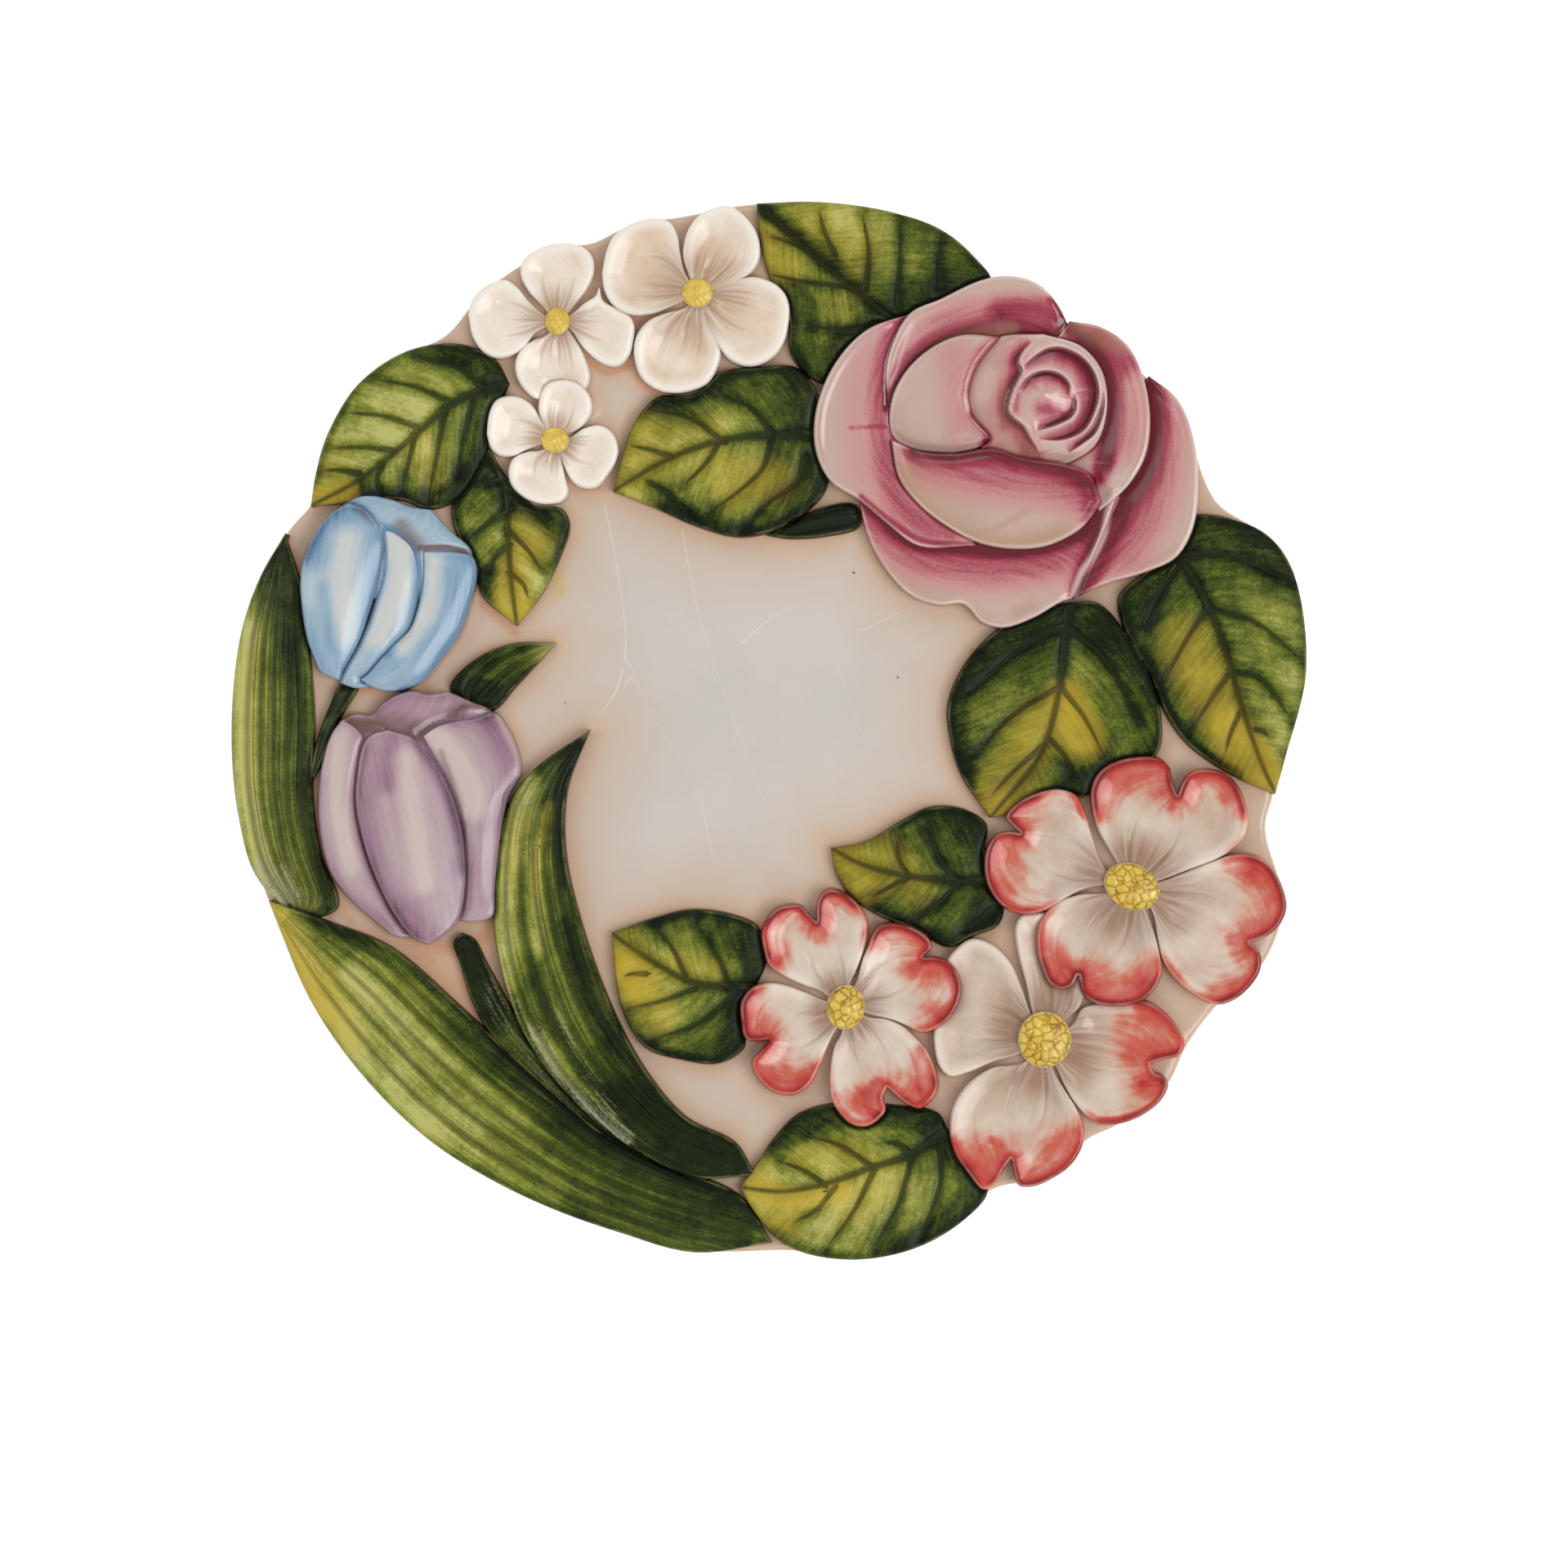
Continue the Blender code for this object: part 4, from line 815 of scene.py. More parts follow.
ROSE_BLUSH = {
    "rose_bottom_petal": strokes(
        "2.2 1.1 225,575 335,469 435,449 625,441 755,479 815,529; 7 0.55 235,549 345,445 495,409 695,429 795,479; "
        "1.4 0.9 819,539 801,489 775,429 741,333; 3 0.5 785,449 751,359"
    ),
    "rose_outer_right_petal": strokes(
        "3.6 1.1 931,859 939,749 925,639 885,573 849,509; 3 1 849,509 805,409 747,329; 8.5 0.5 945,749 915,569 "
        "855,449"
    ),
    "rose_outer_left_petal": strokes(
        "1.2 1 331,1015 299,939 283,859 287,789; 3.4 0.45 311,989 271,869 271,729 291,609 339,529 435,473; 7 0.2 "
        "285,969 235,849 239,669 295,559 375,499; 0.6 0.45 195,741 283,745; 1 0.7 223,573 295,513 375,465 505,453"
    ),
    "rose_top_petal": strokes(
        "4 0.7 565,1019 655,1025 715,999; 6 0.4 355,909 435,989 575,1013; 1 0.7 559,1019 571,1009; 3 0.85 295,805 "
        "331,879 405,945 495,979 615,981 735,949; 2 0.8 695,1053 721,999 739,953"
    ),
    "rose_inner_right_petal": strokes(
        "3 1.1 785,949 827,849 831,729 815,659; 4.5 0.6 745,979 815,949 865,899; 2 1 735,989 765,949; 2.6 0.8 "
        "819,659 805,619; 7 0.3 865,849 875,709"
    ),
    "rose_cup_petal": strokes(
        "2.2 0.65 559,957 515,909 491,829; 1.8 1.1 499,773 535,719 525,693; 6 0.25 455,909 475,749"
    ),
    "rose_bud": strokes(
        "2.6 0.6 595,869 579,749; 3 0.7 615,719 639,669; 4 0.3 639,889 695,893 755,849; 2.6 0.6 665,785 699,779; "
        "5 0.25 545,709 571,829"
    ),
    "rose_front_petal": strokes(
        "3 1 355,683 445,669 539,677 625,657 715,635 785,599; 8 0.5 375,665 515,639 675,619 785,579; 3 0.6 785,589 "
        "785,519; 1.4 0.6 565,669 595,645; 1.2 0.5 755,625 791,605"
    ),
}

# The pale ridge where the two outer petals of the rose's right side meet, partly a painted highlight
ROSE_RIDGE = strokes("1 0.72 847,589 831,551 817,487 791,429 763,389 741,333")

ROSE_TAN = {
    "rose_bottom_petal": strokes("2 0.5 605,293 639,309; 3 0.35 295,389 415,313 515,269"),
    "rose_outer_right_petal": strokes("3 0.3 915,389 995,429"),
    "rose_outer_left_petal": strokes("2 0.3 115,789 125,669"),
    "rose_top_petal": strokes("1.6 0.5 311,809 355,879 435,949 595,981"),
    "rose_inner_right_petal": strokes("3 0.5 755,989 855,939"),
    "rose_cup_petal": strokes("2.2 0.4 307,789 315,719"),
    "rose_bud": strokes("5 0.35 525,889 545,749; 4 0.4 585,709 625,669"),
    "rose_front_petal": strokes(
        "3.6 0.8 321,619 375,539 445,489 515,461 615,453 715,479; 7 0.3 335,609 475,509; 0.9 0.5 485,479 555,497 "
        "633,539"
    ),
}

DOGWOOD_RED = {
    "large_dogwood": strokes(
        "3.6 1 639,-155 595,-187 591,-221; 3.2 0.9 547,-271 531,-341 551,-401; 5 0.5 585,-311 605,-381; 3 0.6 "
        "587,-431 655,-443; 1.4 1.2 591,-239 615,-251; 4 0.9 805,-115 865,-85 945,-75; 3 0.9 791,-181 799,-127; "
        "4 0.5 825,-135 955,-111; 2.6 0.8 985,-181 981,-111; 3 0.9 1015,-135 1075,-107 1139,-141; 2.2 0.8 1115,-121 "
        "1155,-191; 1.5 1.2 987,-127 1001,-149; 3.6 0.95 1171,-321 1231,-367 1249,-435 1219,-481; 3 0.6 1165,-341 "
        "1211,-401; 3 0.7 1125,-507 1205,-491; 3.6 0.95 1197,-555 1171,-619 1109,-661; 4.5 0.45 1145,-541 1115,-611; "
        "3.6 0.9 661,-571 695,-615 745,-615; 4.4 0.9 765,-651 845,-663 931,-635; 3.5 0.6 755,-595 895,-605 947,-601; "
        "2 0.6 675,-527 695,-551; 1.5 1.2 749,-597 757,-631"
    ),
    "small_dogwood": strokes(
        "2.2 0.9 -9,-471 19,-439 59,-429 91,-449 111,-465; 3 0.6 -1,-511 15,-467; 2.2 0.8 -9,-543 19,-563; 2.2 0.95 "
        "117,-435 127,-409 155,-395 205,-421; 2.2 0.7 121,-451 129,-495; 2.4 0.95 261,-503 295,-479 345,-491 "
        "379,-527 381,-567 353,-583; 3.5 0.55 315,-511 345,-561; 2.8 1 415,-565 447,-597 457,-655 421,-703; 3 0.4 "
        "391,-611 399,-711; 1.6 1.3 241,-891 245,-927 263,-939; 3 0.7 215,-901 255,-867 285,-863; 2.8 0.8 331,-903 "
        "365,-905 399,-861; 1.2 1.1 363,-871 369,-901; 4 0.5 355,-791 375,-851; 3.5 0.5 171,-931 215,-955; 2.6 1 "
        "-51,-641 -63,-691 -51,-743 -17,-739; 3 0.5 -15,-721 5,-747; 1.4 1.2 -37,-773 -5,-763; 4.5 0.65 -25,-811 "
        "5,-855 65,-875; 3 0.6 65,-861 99,-827"
    ),
    "lower_dogwood": strokes(
        "4.5 0.7 919,-675 971,-721 999,-771; 1.6 1.2 939,-789 983,-785; 4 0.6 879,-795 925,-811; 1.6 1.2 911,-863 "
        "959,-857; 2.4 0.9 969,-883 925,-929 859,-953 805,-959; 6 0.35 915,-711 905,-781; 4 0.7 455,-1021 499,-1091; "
        "3.5 0.8 495,-1067 545,-1091; 2.4 0.8 541,-1001 563,-1015; 1.6 1.2 589,-1059 597,-1109; 4.5 0.55 631,-1075 "
        "695,-1055; 4 0.6 715,-995 685,-1015; 2.4 0.8 619,-1109 695,-1087 759,-1011"
    ),
}

# Hairline cracks in the glaze of the well, and its pits
CRAZE = [
    "-405,549 -381,429 -355,189 -395,69 -485,-11", "-355,189 -285,29 -185,-131 -125,-391",
    "-215,489 -185,329 -145,189 -75,-11 35,-301", "-75,209 15,285 115,329", "155,189 205,49 265,-91",
    "235,249 335,299",
]
PITS = "315,133 45,119 495,199 -505,69 205,389"

# Brown on the ground at the foot of the relief, partly pooled glaze and partly painted contact shadow, and a smear of
# yellow below the small leaf
BROWN_POOLS_AND_SHADOWS = strokes(
    "2.2 0.9 -889,-481 -845,-519 -765,-531 -685,-487 -653,-435; 3.2 0.5 -885,-541 -775,-631 -701,-711; 1.6 0.6 "
    "-1115,-11 -1109,-211 -1085,-371 -1025,-471; 1.6 0.7 -1075,185 -1025,113 -925,93 -845,105; 1.2 0.7 -709,313 "
    "-625,241; 1.2 0.8 -461,921 -405,881 -349,893; 1.2 0.7 -333,895 -305,845 -235,817; 1.2 0.8 -415,1055 -365,1015 "
    "-269,1005; 3 0.6 435,-691 461,-763; 2 0.5 445,-531 545,-495; 1.4 0.5 365,-811 375,-891; 1.2 0.5 -517,595 "
    "-411,595; 7 0.45 -925,-491 -825,-581 -749,-661; 3.5 0.4 -691,-441 -673,-541 -635,-641"
)
YELLOW_SMEAR = strokes("2.4 0.7 -533,389 -521,345")


# ---- Lines and distances on the plate's face -----------------------------------------------------------------------


def span(four):
    """Points from the second of four places towards the third, on the smooth curve that the four give."""
    knots = np.cumsum([0.0] + [math.sqrt(np.linalg.norm(b - a)) for a, b in zip(four, four[1:])])
    t = np.linspace(knots[1], knots[2], SPAN_POINTS, endpoint=False)[:, None]

    def between(start, end, i, j):
        return (start * (knots[j] - t) + end * (t - knots[i])) / (knots[j] - knots[i])

    first, second, third = (between(four[i], four[i + 1], i, i + 1) for i in range(3))
    return between(between(first, second, 0, 2), between(second, third, 1, 3), 1, 2)


def places_of(text):
    """The places in millimetres that a text of the tables gives in tenths."""
    return np.array([pair.split(",") for pair in text.split()], float) / TENTHS


def smooth_line(text, closed=False):
    """Points along the centripetal Catmull-Rom curve through the places of a text."""
    given = places_of(text)
    if closed:
        guide = np.vstack([given[-1:], given, given[:2]])
    else:
        guide = np.vstack([2 * given[0] - given[1], given, 2 * given[-1] - given[-2]])
    spans = [span(guide[i : i + 4]) for i in range(len(guide) - 3)]
    return np.vstack(spans if closed else spans + [given[-1:]])


def lengths_along(line):
    return np.concatenate([[0.0], np.cumsum(np.linalg.norm(np.diff(line, axis=0), axis=1))])


def at_shares(line, shares):
    """The points that lie at these shares of a line's length."""
    reached = lengths_along(line)
    return np.stack([np.interp(shares * reached[-1], reached, line[:, axis]) for axis in (0, 1)], axis=1)


def smooth_step(value, low, high):
    share = np.clip((value - low) / (high - low), 0.0, 1.0)
    return share * share * (3 - 2 * share)


def hump(distance, reach):
    """One at no distance, and falling softly to nothing past the reach."""
    return np.exp(-((distance / reach) ** 2))


def face_height(radius):
    """The height of the dish's face at this distance from its middle."""
    return WELL_HEIGHT + (RIM_HEIGHT - WELL_HEIGHT) * smooth_step(radius, WELL_RADIUS, RIM_RADIUS)


EDGE_LINE = smooth_line(EDGE, closed=True)
EDGE_TURNS = np.arctan2(EDGE_LINE[:, 1], EDGE_LINE[:, 0])
EDGE_REACHES = np.hypot(EDGE_LINE[:, 0], EDGE_LINE[:, 1])


def rim_reach(x, y):
    """How far the dish's rim lies from its middle, in the direction of these places."""
    return np.interp(np.arctan2(y, x), EDGE_TURNS, EDGE_REACHES, period=FULL_TURN) - EDGE_INSET


def nearest_on(places, line):
    """For each place: its distance from a line, which side it lies on, and the share of the line's length there."""
    steps = np.diff(line, axis=0)
    squares = (steps**2).sum(axis=1).clip(1e-9)
    reached = lengths_along(line)
    distance, side, share = (np.empty(len(places)) for _ in range(3))
    for start in range(0, len(places), BATCH):
        part = slice(start, start + BATCH)
        away = places[part, None, :] - line[:-1]
        along = ((away * steps).sum(axis=2) / squares).clip(0.0, 1.0)
        gap = away - along[..., None] * steps
        gaps = (gap**2).sum(axis=2)
        best = gaps.argmin(axis=1)
        row = np.arange(len(best))
        cross = steps[best, 0] * gap[row, best, 1] - steps[best, 1] * gap[row, best, 0]
        distance[part] = np.sqrt(gaps[row, best])
        side[part] = np.where(cross < 0, -1.0, 1.0)
        share[part] = (reached[best] + along[row, best] * (reached[best + 1] - reached[best])) / reached[-1]
    return distance, side, share


def depth_inside(places, outline):
    """How far inside a closed outline each place lies, negative for one outside it."""
    closed = np.vstack([outline, outline[:1]])
    distance = nearest_on(places, closed)[0]
    crossings = np.zeros(len(places), int)
    for (x0, y0), (x1, y1) in zip(closed, closed[1:]):
        if y0 == y1:
            continue
        spans_it = (places[:, 1] < y0) != (places[:, 1] < y1)
        crossings += spans_it & (places[:, 0] < x0 + (places[:, 1] - y0) * (x1 - x0) / (y1 - y0))
    return np.where(crossings % 2 == 1, distance, -distance)


def paint(places, strokes):
    """How much paint these brush strokes leave on each place: from none, 0, to full cover, 1."""
    bare = np.ones(len(places))
    for reach, strength, line in strokes:
        points = places_of(line)
        if len(points) > 2:
            points = smooth_line(line)
        distance = nearest_on(places, points)[0]
        fade = smooth_step(distance, STROKE_CORE * reach, STROKE_END * reach)
        bare *= 1 - np.clip(strength * (1 - fade), 0.0, 1.0)
    return 1 - bare


def wash(places, strokes):
    """The same strokes laid on wet: about half as strong, and running out about twice as far."""
    wet = [(WET_REACH * reach, WET_STRENGTH * min(strength, 1.0), line) for reach, strength, line in strokes]
    return np.maximum(paint(places, wet), DRY_SHARE * paint(places, strokes))


def widened(strokes, share):
    return [(reach * share, strength, line) for reach, strength, line in strokes]


def side_lines(shape):
    """A shape's left edge, middle line and right edge, all from its base to its tip."""
    left, right = (smooth_line(f"{shape.base} {edge} {shape.tip}") for edge in (shape.left, shape.right))
    rib = getattr(shape, "rib", "")
    if rib:
        return left, smooth_line(f"{shape.base} {rib} {shape.tip}"), right
    shares = np.linspace(0.0, 1.0, len(left))
    return left, (at_shares(left, shares) + at_shares(right, shares)) / 2, right


def petal_lines(shape):
    """A notched petal's edges, with the middle line straight from its base to the notch."""
    left, _, right = side_lines(shape)
    shares = np.linspace(0.0, 1.0, len(left))[:, None]
    return left, places_of(shape.base) * (1 - shares) + places_of(shape.tip) * shares, right


def outline_of(lines):
    left, _, right = lines
    return np.vstack([left, right[-2:0:-1]])


def lengthwise(lines, places_across, start=0.04, end=0.96):
    """Lines that run along a shape, each at one place across it, from -1 at the left edge to 1 at the right."""
    shares = np.linspace(start, end, FURROW_POINTS)
    left, middle, right = (at_shares(line, shares) for line in lines)
    return [middle + abs(across) * ((left if across < 0 else right) - middle) for across in places_across]


# ---- Raised pieces -------------------------------------------------------------------------------------------------


def outlines_over(name):
    """The outlines of the shapes that lie over a shape: those that come after it in the order of the making."""
    last = max(number for number, (known, _) in enumerate(LAYERS) if known == name)
    return [outline for _, outline in LAYERS[last + 1 :]]


def cover_over(places, outlines, reach=12.0):
    """How far each place lies outside the nearest of these outlines, negative under one of them."""
    cover = np.full(len(places), reach)
    low, high = places.min(axis=0) - reach, places.max(axis=0) + reach
    for outline in outlines:
        if (outline.max(axis=0) < low).any() or (outline.min(axis=0) > high).any():
            continue
        near = ((places > outline.min(axis=0) - reach) & (places < outline.max(axis=0) + reach)).all(axis=1)
        if near.any():
            cover[near] = np.minimum(cover[near], -depth_inside(places[near], outline))
    return cover


def edge_drop(depth, radius):
    """How far a rounded edge falls below the top at this depth inside its outline."""
    share = 1 - np.clip(depth / radius, 0.0, 1.0)
    return radius * (1 - np.sqrt(1 - share**2))


class Patch:
    """One closed sheet of a piece: a grid between two edge lines, with walls that go down into the dish.

    The columns run from the left wall's foot over the top to the right wall's foot, and back under the sheet to where
    they began. What it knows of each point of the top: the place, the share of the way along, the place across from
    -1 to 1, the depth inside the outline, and how far the shapes that lie over it are.
    """

    # How far down its wall each column stands: the last is the foot, bedded in the dish
    WALL_SHARES = (0.45, 0.85, 1.0)
    WALL_COLUMNS = len(WALL_SHARES)
    WALL_CHART = 1.6
    FLARE = 0.5
    SAMPLES = 60
    FEWEST_ROWS, MOST_ROWS = 16, 300
    FEWEST_COLUMNS, MOST_COLUMNS = 5, 60
    EDGE_CROWDING = 0.45

    def __init__(self, lines, over, detail=SHEET_DETAIL):
        shares = np.linspace(0.0, 1.0, self.SAMPLES)
        left, middle, right = (at_shares(line, shares) for line in lines)
        self.widest = max((np.linalg.norm(left - middle, axis=1) + np.linalg.norm(right - middle, axis=1)).max(), 2.0)
        longest = max(lengths_along(line)[-1] for line in lines)
        self.rows = int(min(max(longest / detail, self.FEWEST_ROWS), self.MOST_ROWS))
        self.columns = 2 * int(min(max(self.widest / detail / 2, self.FEWEST_COLUMNS), self.MOST_COLUMNS))
        self.around = self.columns + 2 * self.WALL_COLUMNS + 1
        shares = np.linspace(0.0, 1.0, self.rows + 1)
        steps = np.linspace(-1.0, 1.0, self.columns + 1)
        steps = (1 - self.EDGE_CROWDING) * steps + self.EDGE_CROWDING * np.sin(math.pi / 2 * steps)
        left, middle, right = (at_shares(line, shares) for line in lines)
        reach = np.abs(steps)[None, :, None]
        edge = np.where(steps[None, :, None] < 0, left[:, None, :], right[:, None, :])
        self.grid = middle[:, None, :] + reach * (edge - middle[:, None, :])
        self.place = self.grid.reshape(-1, 2)
        self.along = np.repeat(shares, self.columns + 1)
        self.across = np.tile(steps, self.rows + 1)
        inside = depth_inside(self.place, outline_of(lines))
        self.depth = inside.clip(0.0)
        self.stray = smooth_step(-inside, 0.1, 0.5)
        self.cover = cover_over(self.place, over)
        half = np.linalg.norm(edge - middle[:, None, :], axis=2).reshape(-1)
        self.across_mm = self.across * half
        self.along_mm = self.along * lengths_along(lines[1])[-1]
        self.ground = face_height(np.hypot(*self.place.T))

    def walled(self, values, fall=0.0):
        """Spreads values of the top over the walls, where they change by the fall at each column further down."""
        table = values.reshape(self.rows + 1, -1)
        down = fall * np.arange(self.WALL_COLUMNS, 0, -1)
        left, right = table[:, :1] + down, table[:, -1:] + down[::-1]
        return np.hstack([left, table, right, left[:, :1]])

    def corners(self, height):
        """The grid's points, once the height over the face is known on the top."""
        z = (self.ground + height).reshape(self.rows + 1, -1)
        fade = np.minimum(1.0, 6 * np.minimum(self.along, 1 - self.along)).reshape(z.shape)[:, :1]
        walls = []
        for column, inner in ((0, 1), (-1, -2)):
            edge = self.grid[:, column]
            outward = edge - self.grid[:, inner]
            outward = outward / np.linalg.norm(outward, axis=1, keepdims=True).clip(1e-6)
            base = face_height(np.hypot(*edge.T))
            top = z[:, column]
            radius = np.hypot(*edge.T)
            room = np.maximum(rim_reach(*edge.T) - FOOT_TUCK - radius, -MOST_TUCK)
            levels = []
            for share in self.WALL_SHARES:
                spread = np.minimum(room, 0.0) * share * share + self.FLARE * share * share * (room > 0)
                inwards = (edge / radius[:, None]) * np.minimum(spread, 0.0)[:, None]
                outwards = outward * np.maximum(spread, 0.0)[:, None] * fade
                lowered = top + (base - top) * (share / self.WALL_SHARES[1])
                height = lowered if share < 1.0 else base - BEDDING
                levels.append(np.column_stack([edge + inwards + outwards, height]))
            walls.append(levels)
        top = np.dstack([self.grid, z])
        left = np.stack(walls[0][::-1], axis=1)
        right = np.stack(walls[1], axis=1)
        return np.concatenate([left, top, right, left[:, :1]], axis=1).reshape(-1, 3)

    def chart(self):
        """Where each point lies on the sheet's own map: across it from the left foot round to the cap, and along."""
        walls = self.WALL_COLUMNS * self.WALL_CHART
        total = self.widest + 2 * walls + 1.0
        left = np.linspace(0.0, walls, self.WALL_COLUMNS, endpoint=False)
        middle = walls + np.linspace(0.0, self.widest, self.columns + 1)
        right = walls + self.widest + np.linspace(walls, 0.0, self.WALL_COLUMNS, endpoint=False)[::-1]
        u = np.concatenate([left, middle, right, [total]]) / total
        v = np.linspace(0.0, 1.0, self.rows + 1)
        return np.stack(np.meshgrid(u, v), axis=2).reshape(-1, 2)


def cast(name, patches, material):
    """Makes a finished piece of closed sheets, each with its points and the values that its glaze reads."""
    bm = bmesh.new()
    firsts = []
    for patch, _, _ in patches:
        firsts.append(len(bm.verts))
        bmesh.ops.create_grid(bm, x_segments=patch.around, y_segments=patch.rows, size=1.0)
        bm.verts.ensure_lookup_table()
    mesh = mesh_of(bm, name)
    points = points_of(mesh)
    charts = np.empty((len(points), 2))
    values = {mark: np.zeros(len(points)) for mark in patches[0][2]}
    for number, (first, (patch, corners, marks)) in enumerate(zip(firsts, patches)):
        own = slice(first, first + (patch.rows + 1) * (patch.around + 1))
        row = np.rint((points[own, 1] + 1) / 2 * patch.rows).astype(int)
        column = np.rint((points[own, 0] + 1) / 2 * patch.around).astype(int)
        at = row * (patch.around + 1) + column
        points[own] = corners[at] * MM
        chart = patch.chart()[at]
        chart[:, 0] = (chart[:, 0] * (1 - 2 * CHART_MARGIN) + CHART_MARGIN + number) / len(patches)
        charts[own] = chart
        for mark in values:
            fall = WALL_FALL if mark == "depth" else 0.0
            values[mark][own] = patch.walled(marks[mark], fall).reshape(-1)[at]
    mesh.vertices.foreach_set("co", points.reshape(-1))
    for mark, numbers in values.items():
        give(mesh, mark, numbers)
    spread_out(mesh, charts[points_at_corners(mesh)])
    bm = bmesh.new()
    bm.from_mesh(mesh)
    close_up(bm, WELD * MM)
    bm.to_mesh(mesh)
    bm.free()
    return finish_piece(name, mesh, material)


def mesh_of(bm, name):
    """A new mesh with what was built, which is then let go."""
    mesh = bpy.data.meshes.new(name)
    bm.to_mesh(mesh)
    bm.free()
    return mesh


def close_up(bm, gap):
    """Joins the points that lie within the gap of each other, and turns all faces outwards."""
    bmesh.ops.remove_doubles(bm, verts=bm.verts, dist=gap)
    bmesh.ops.recalc_face_normals(bm, faces=bm.faces)
    if bm.calc_volume(signed=True) < 0:
        bmesh.ops.reverse_faces(bm, faces=bm.faces)


def points_of(mesh):
    flat = np.empty(len(mesh.vertices) * 3)
    mesh.vertices.foreach_get("co", flat)
    return flat.reshape(-1, 3)


def points_at_corners(mesh):
    """The number of the point at each corner of each face."""
    corners = np.empty(len(mesh.loops), int)
    mesh.loops.foreach_get("vertex_index", corners)
    return corners


def give(mesh, mark, numbers):
    mesh.attributes.new(mark, "FLOAT", "POINT").data.foreach_set("value", numbers)


def spread_out(mesh, chart):
    """Gives the mesh its own map, from where each corner of its faces lies there."""
    mesh.uv_layers.new(name="OFBake").uv.foreach_set("vector", chart.reshape(-1))


def placed(name, data):
    """A new object of the scene."""
    thing = bpy.data.objects.new(name, data)
    bpy.context.scene.collection.objects.link(thing)
    return thing


def finish_piece(name, mesh, material):
    mesh.materials.clear()
    mesh.materials.append(material)
    mesh.shade_smooth()
    piece = placed(name, mesh)
    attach(piece, "root")
    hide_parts("plate")
    return piece


def lines_near(places, lines, widths, fade_from=0.75):
    """The signed distance to the nearest of several drawn lines, the plain distance, and half that line's width."""
    side_gap, gap, half = np.full(len(places), FAR), np.full(len(places), FAR), np.zeros(len(places))
    for line, (start_width, end_width) in zip(lines, widths):
        distance, side, share = nearest_on(places, line)
        nearer = distance < gap
        gap = np.where(nearer, distance, gap)
        side_gap = np.where(nearer, distance * side, side_gap)
        width = start_width + (end_width - start_width) * share
        width = width * (1 - smooth_step(share, fade_from, 1.0) * 0.75) * (share < 0.9999)
        half = np.where(nearer, width / 2, half)
    return side_gap, gap, half


# ---- Glazes --------------------------------------------------------------------------------------------------------


def colour(red, green, blue):
    """A colour as the eye names it, in 0 to 255, turned into the shader's linear light."""
    shares = (red / 255, green / 255, blue / 255)
    return (*((s / 12.92 if s <= 0.04045 else ((s + 0.055) / 1.055) ** 2.4) * LIGHT_SHARE for s in shares), 1.0)


def shader_colour(shade):
    """A colour for a socket: one that was named by its red, green and blue, or one that a glaze has mixed already."""
    return colour(*shade) if isinstance(shade, tuple) else shade


class Tone:
    """A value, a colour or a vector on its way through a glaze, with Python's operators for its maths."""

    def __init__(self, glaze, socket):
        self.glaze = glaze
        self.socket = socket
        self.broad = socket.type in ("RGBA", "VECTOR")

    def meet(self, operation, first, second):
        broad = any(isinstance(one, Tone) and one.broad for one in (first, second))
        kind = "ShaderNodeVectorMath" if broad else "ShaderNodeMath"
        return self.glaze.node(kind, {"operation": operation}, {0: first, 1: second})

    def __add__(self, other):
        return self.meet("ADD", self, other)

    def __radd__(self, other):
        return self.meet("ADD", other, self)

    def __sub__(self, other):
        return self.meet("SUBTRACT", self, other)

    def __rsub__(self, other):
        return self.meet("SUBTRACT", other, self)

    def __mul__(self, other):
        return self.meet("MULTIPLY", self, other)

    def __truediv__(self, other):
        return self.meet("DIVIDE", self, other)

    def size(self):
        """The value without its sign."""
        return self.glaze.node("ShaderNodeMath", {"operation": "ABSOLUTE"}, {0: self})

    def held(self):
        """The value kept between 0 and 1."""
        return self.glaze.node("ShaderNodeClamp", {}, {"Value": self})

    def greater(self, other):
        return self.meet("MAXIMUM", self, other)

    def rise(self, low, high):
        """From 0 at the low value to 1 at the high one, softly; turned round when the low one is greater."""
        (start, first), (end, last) = sorted([(low, 0.0), (high, 1.0)])
        sockets = {"Value": self, "From Min": start, "From Max": end, "To Min": first, "To Max": last}
        return self.glaze.node("ShaderNodeMapRange", {"interpolation_type": "SMOOTHSTEP"}, sockets)


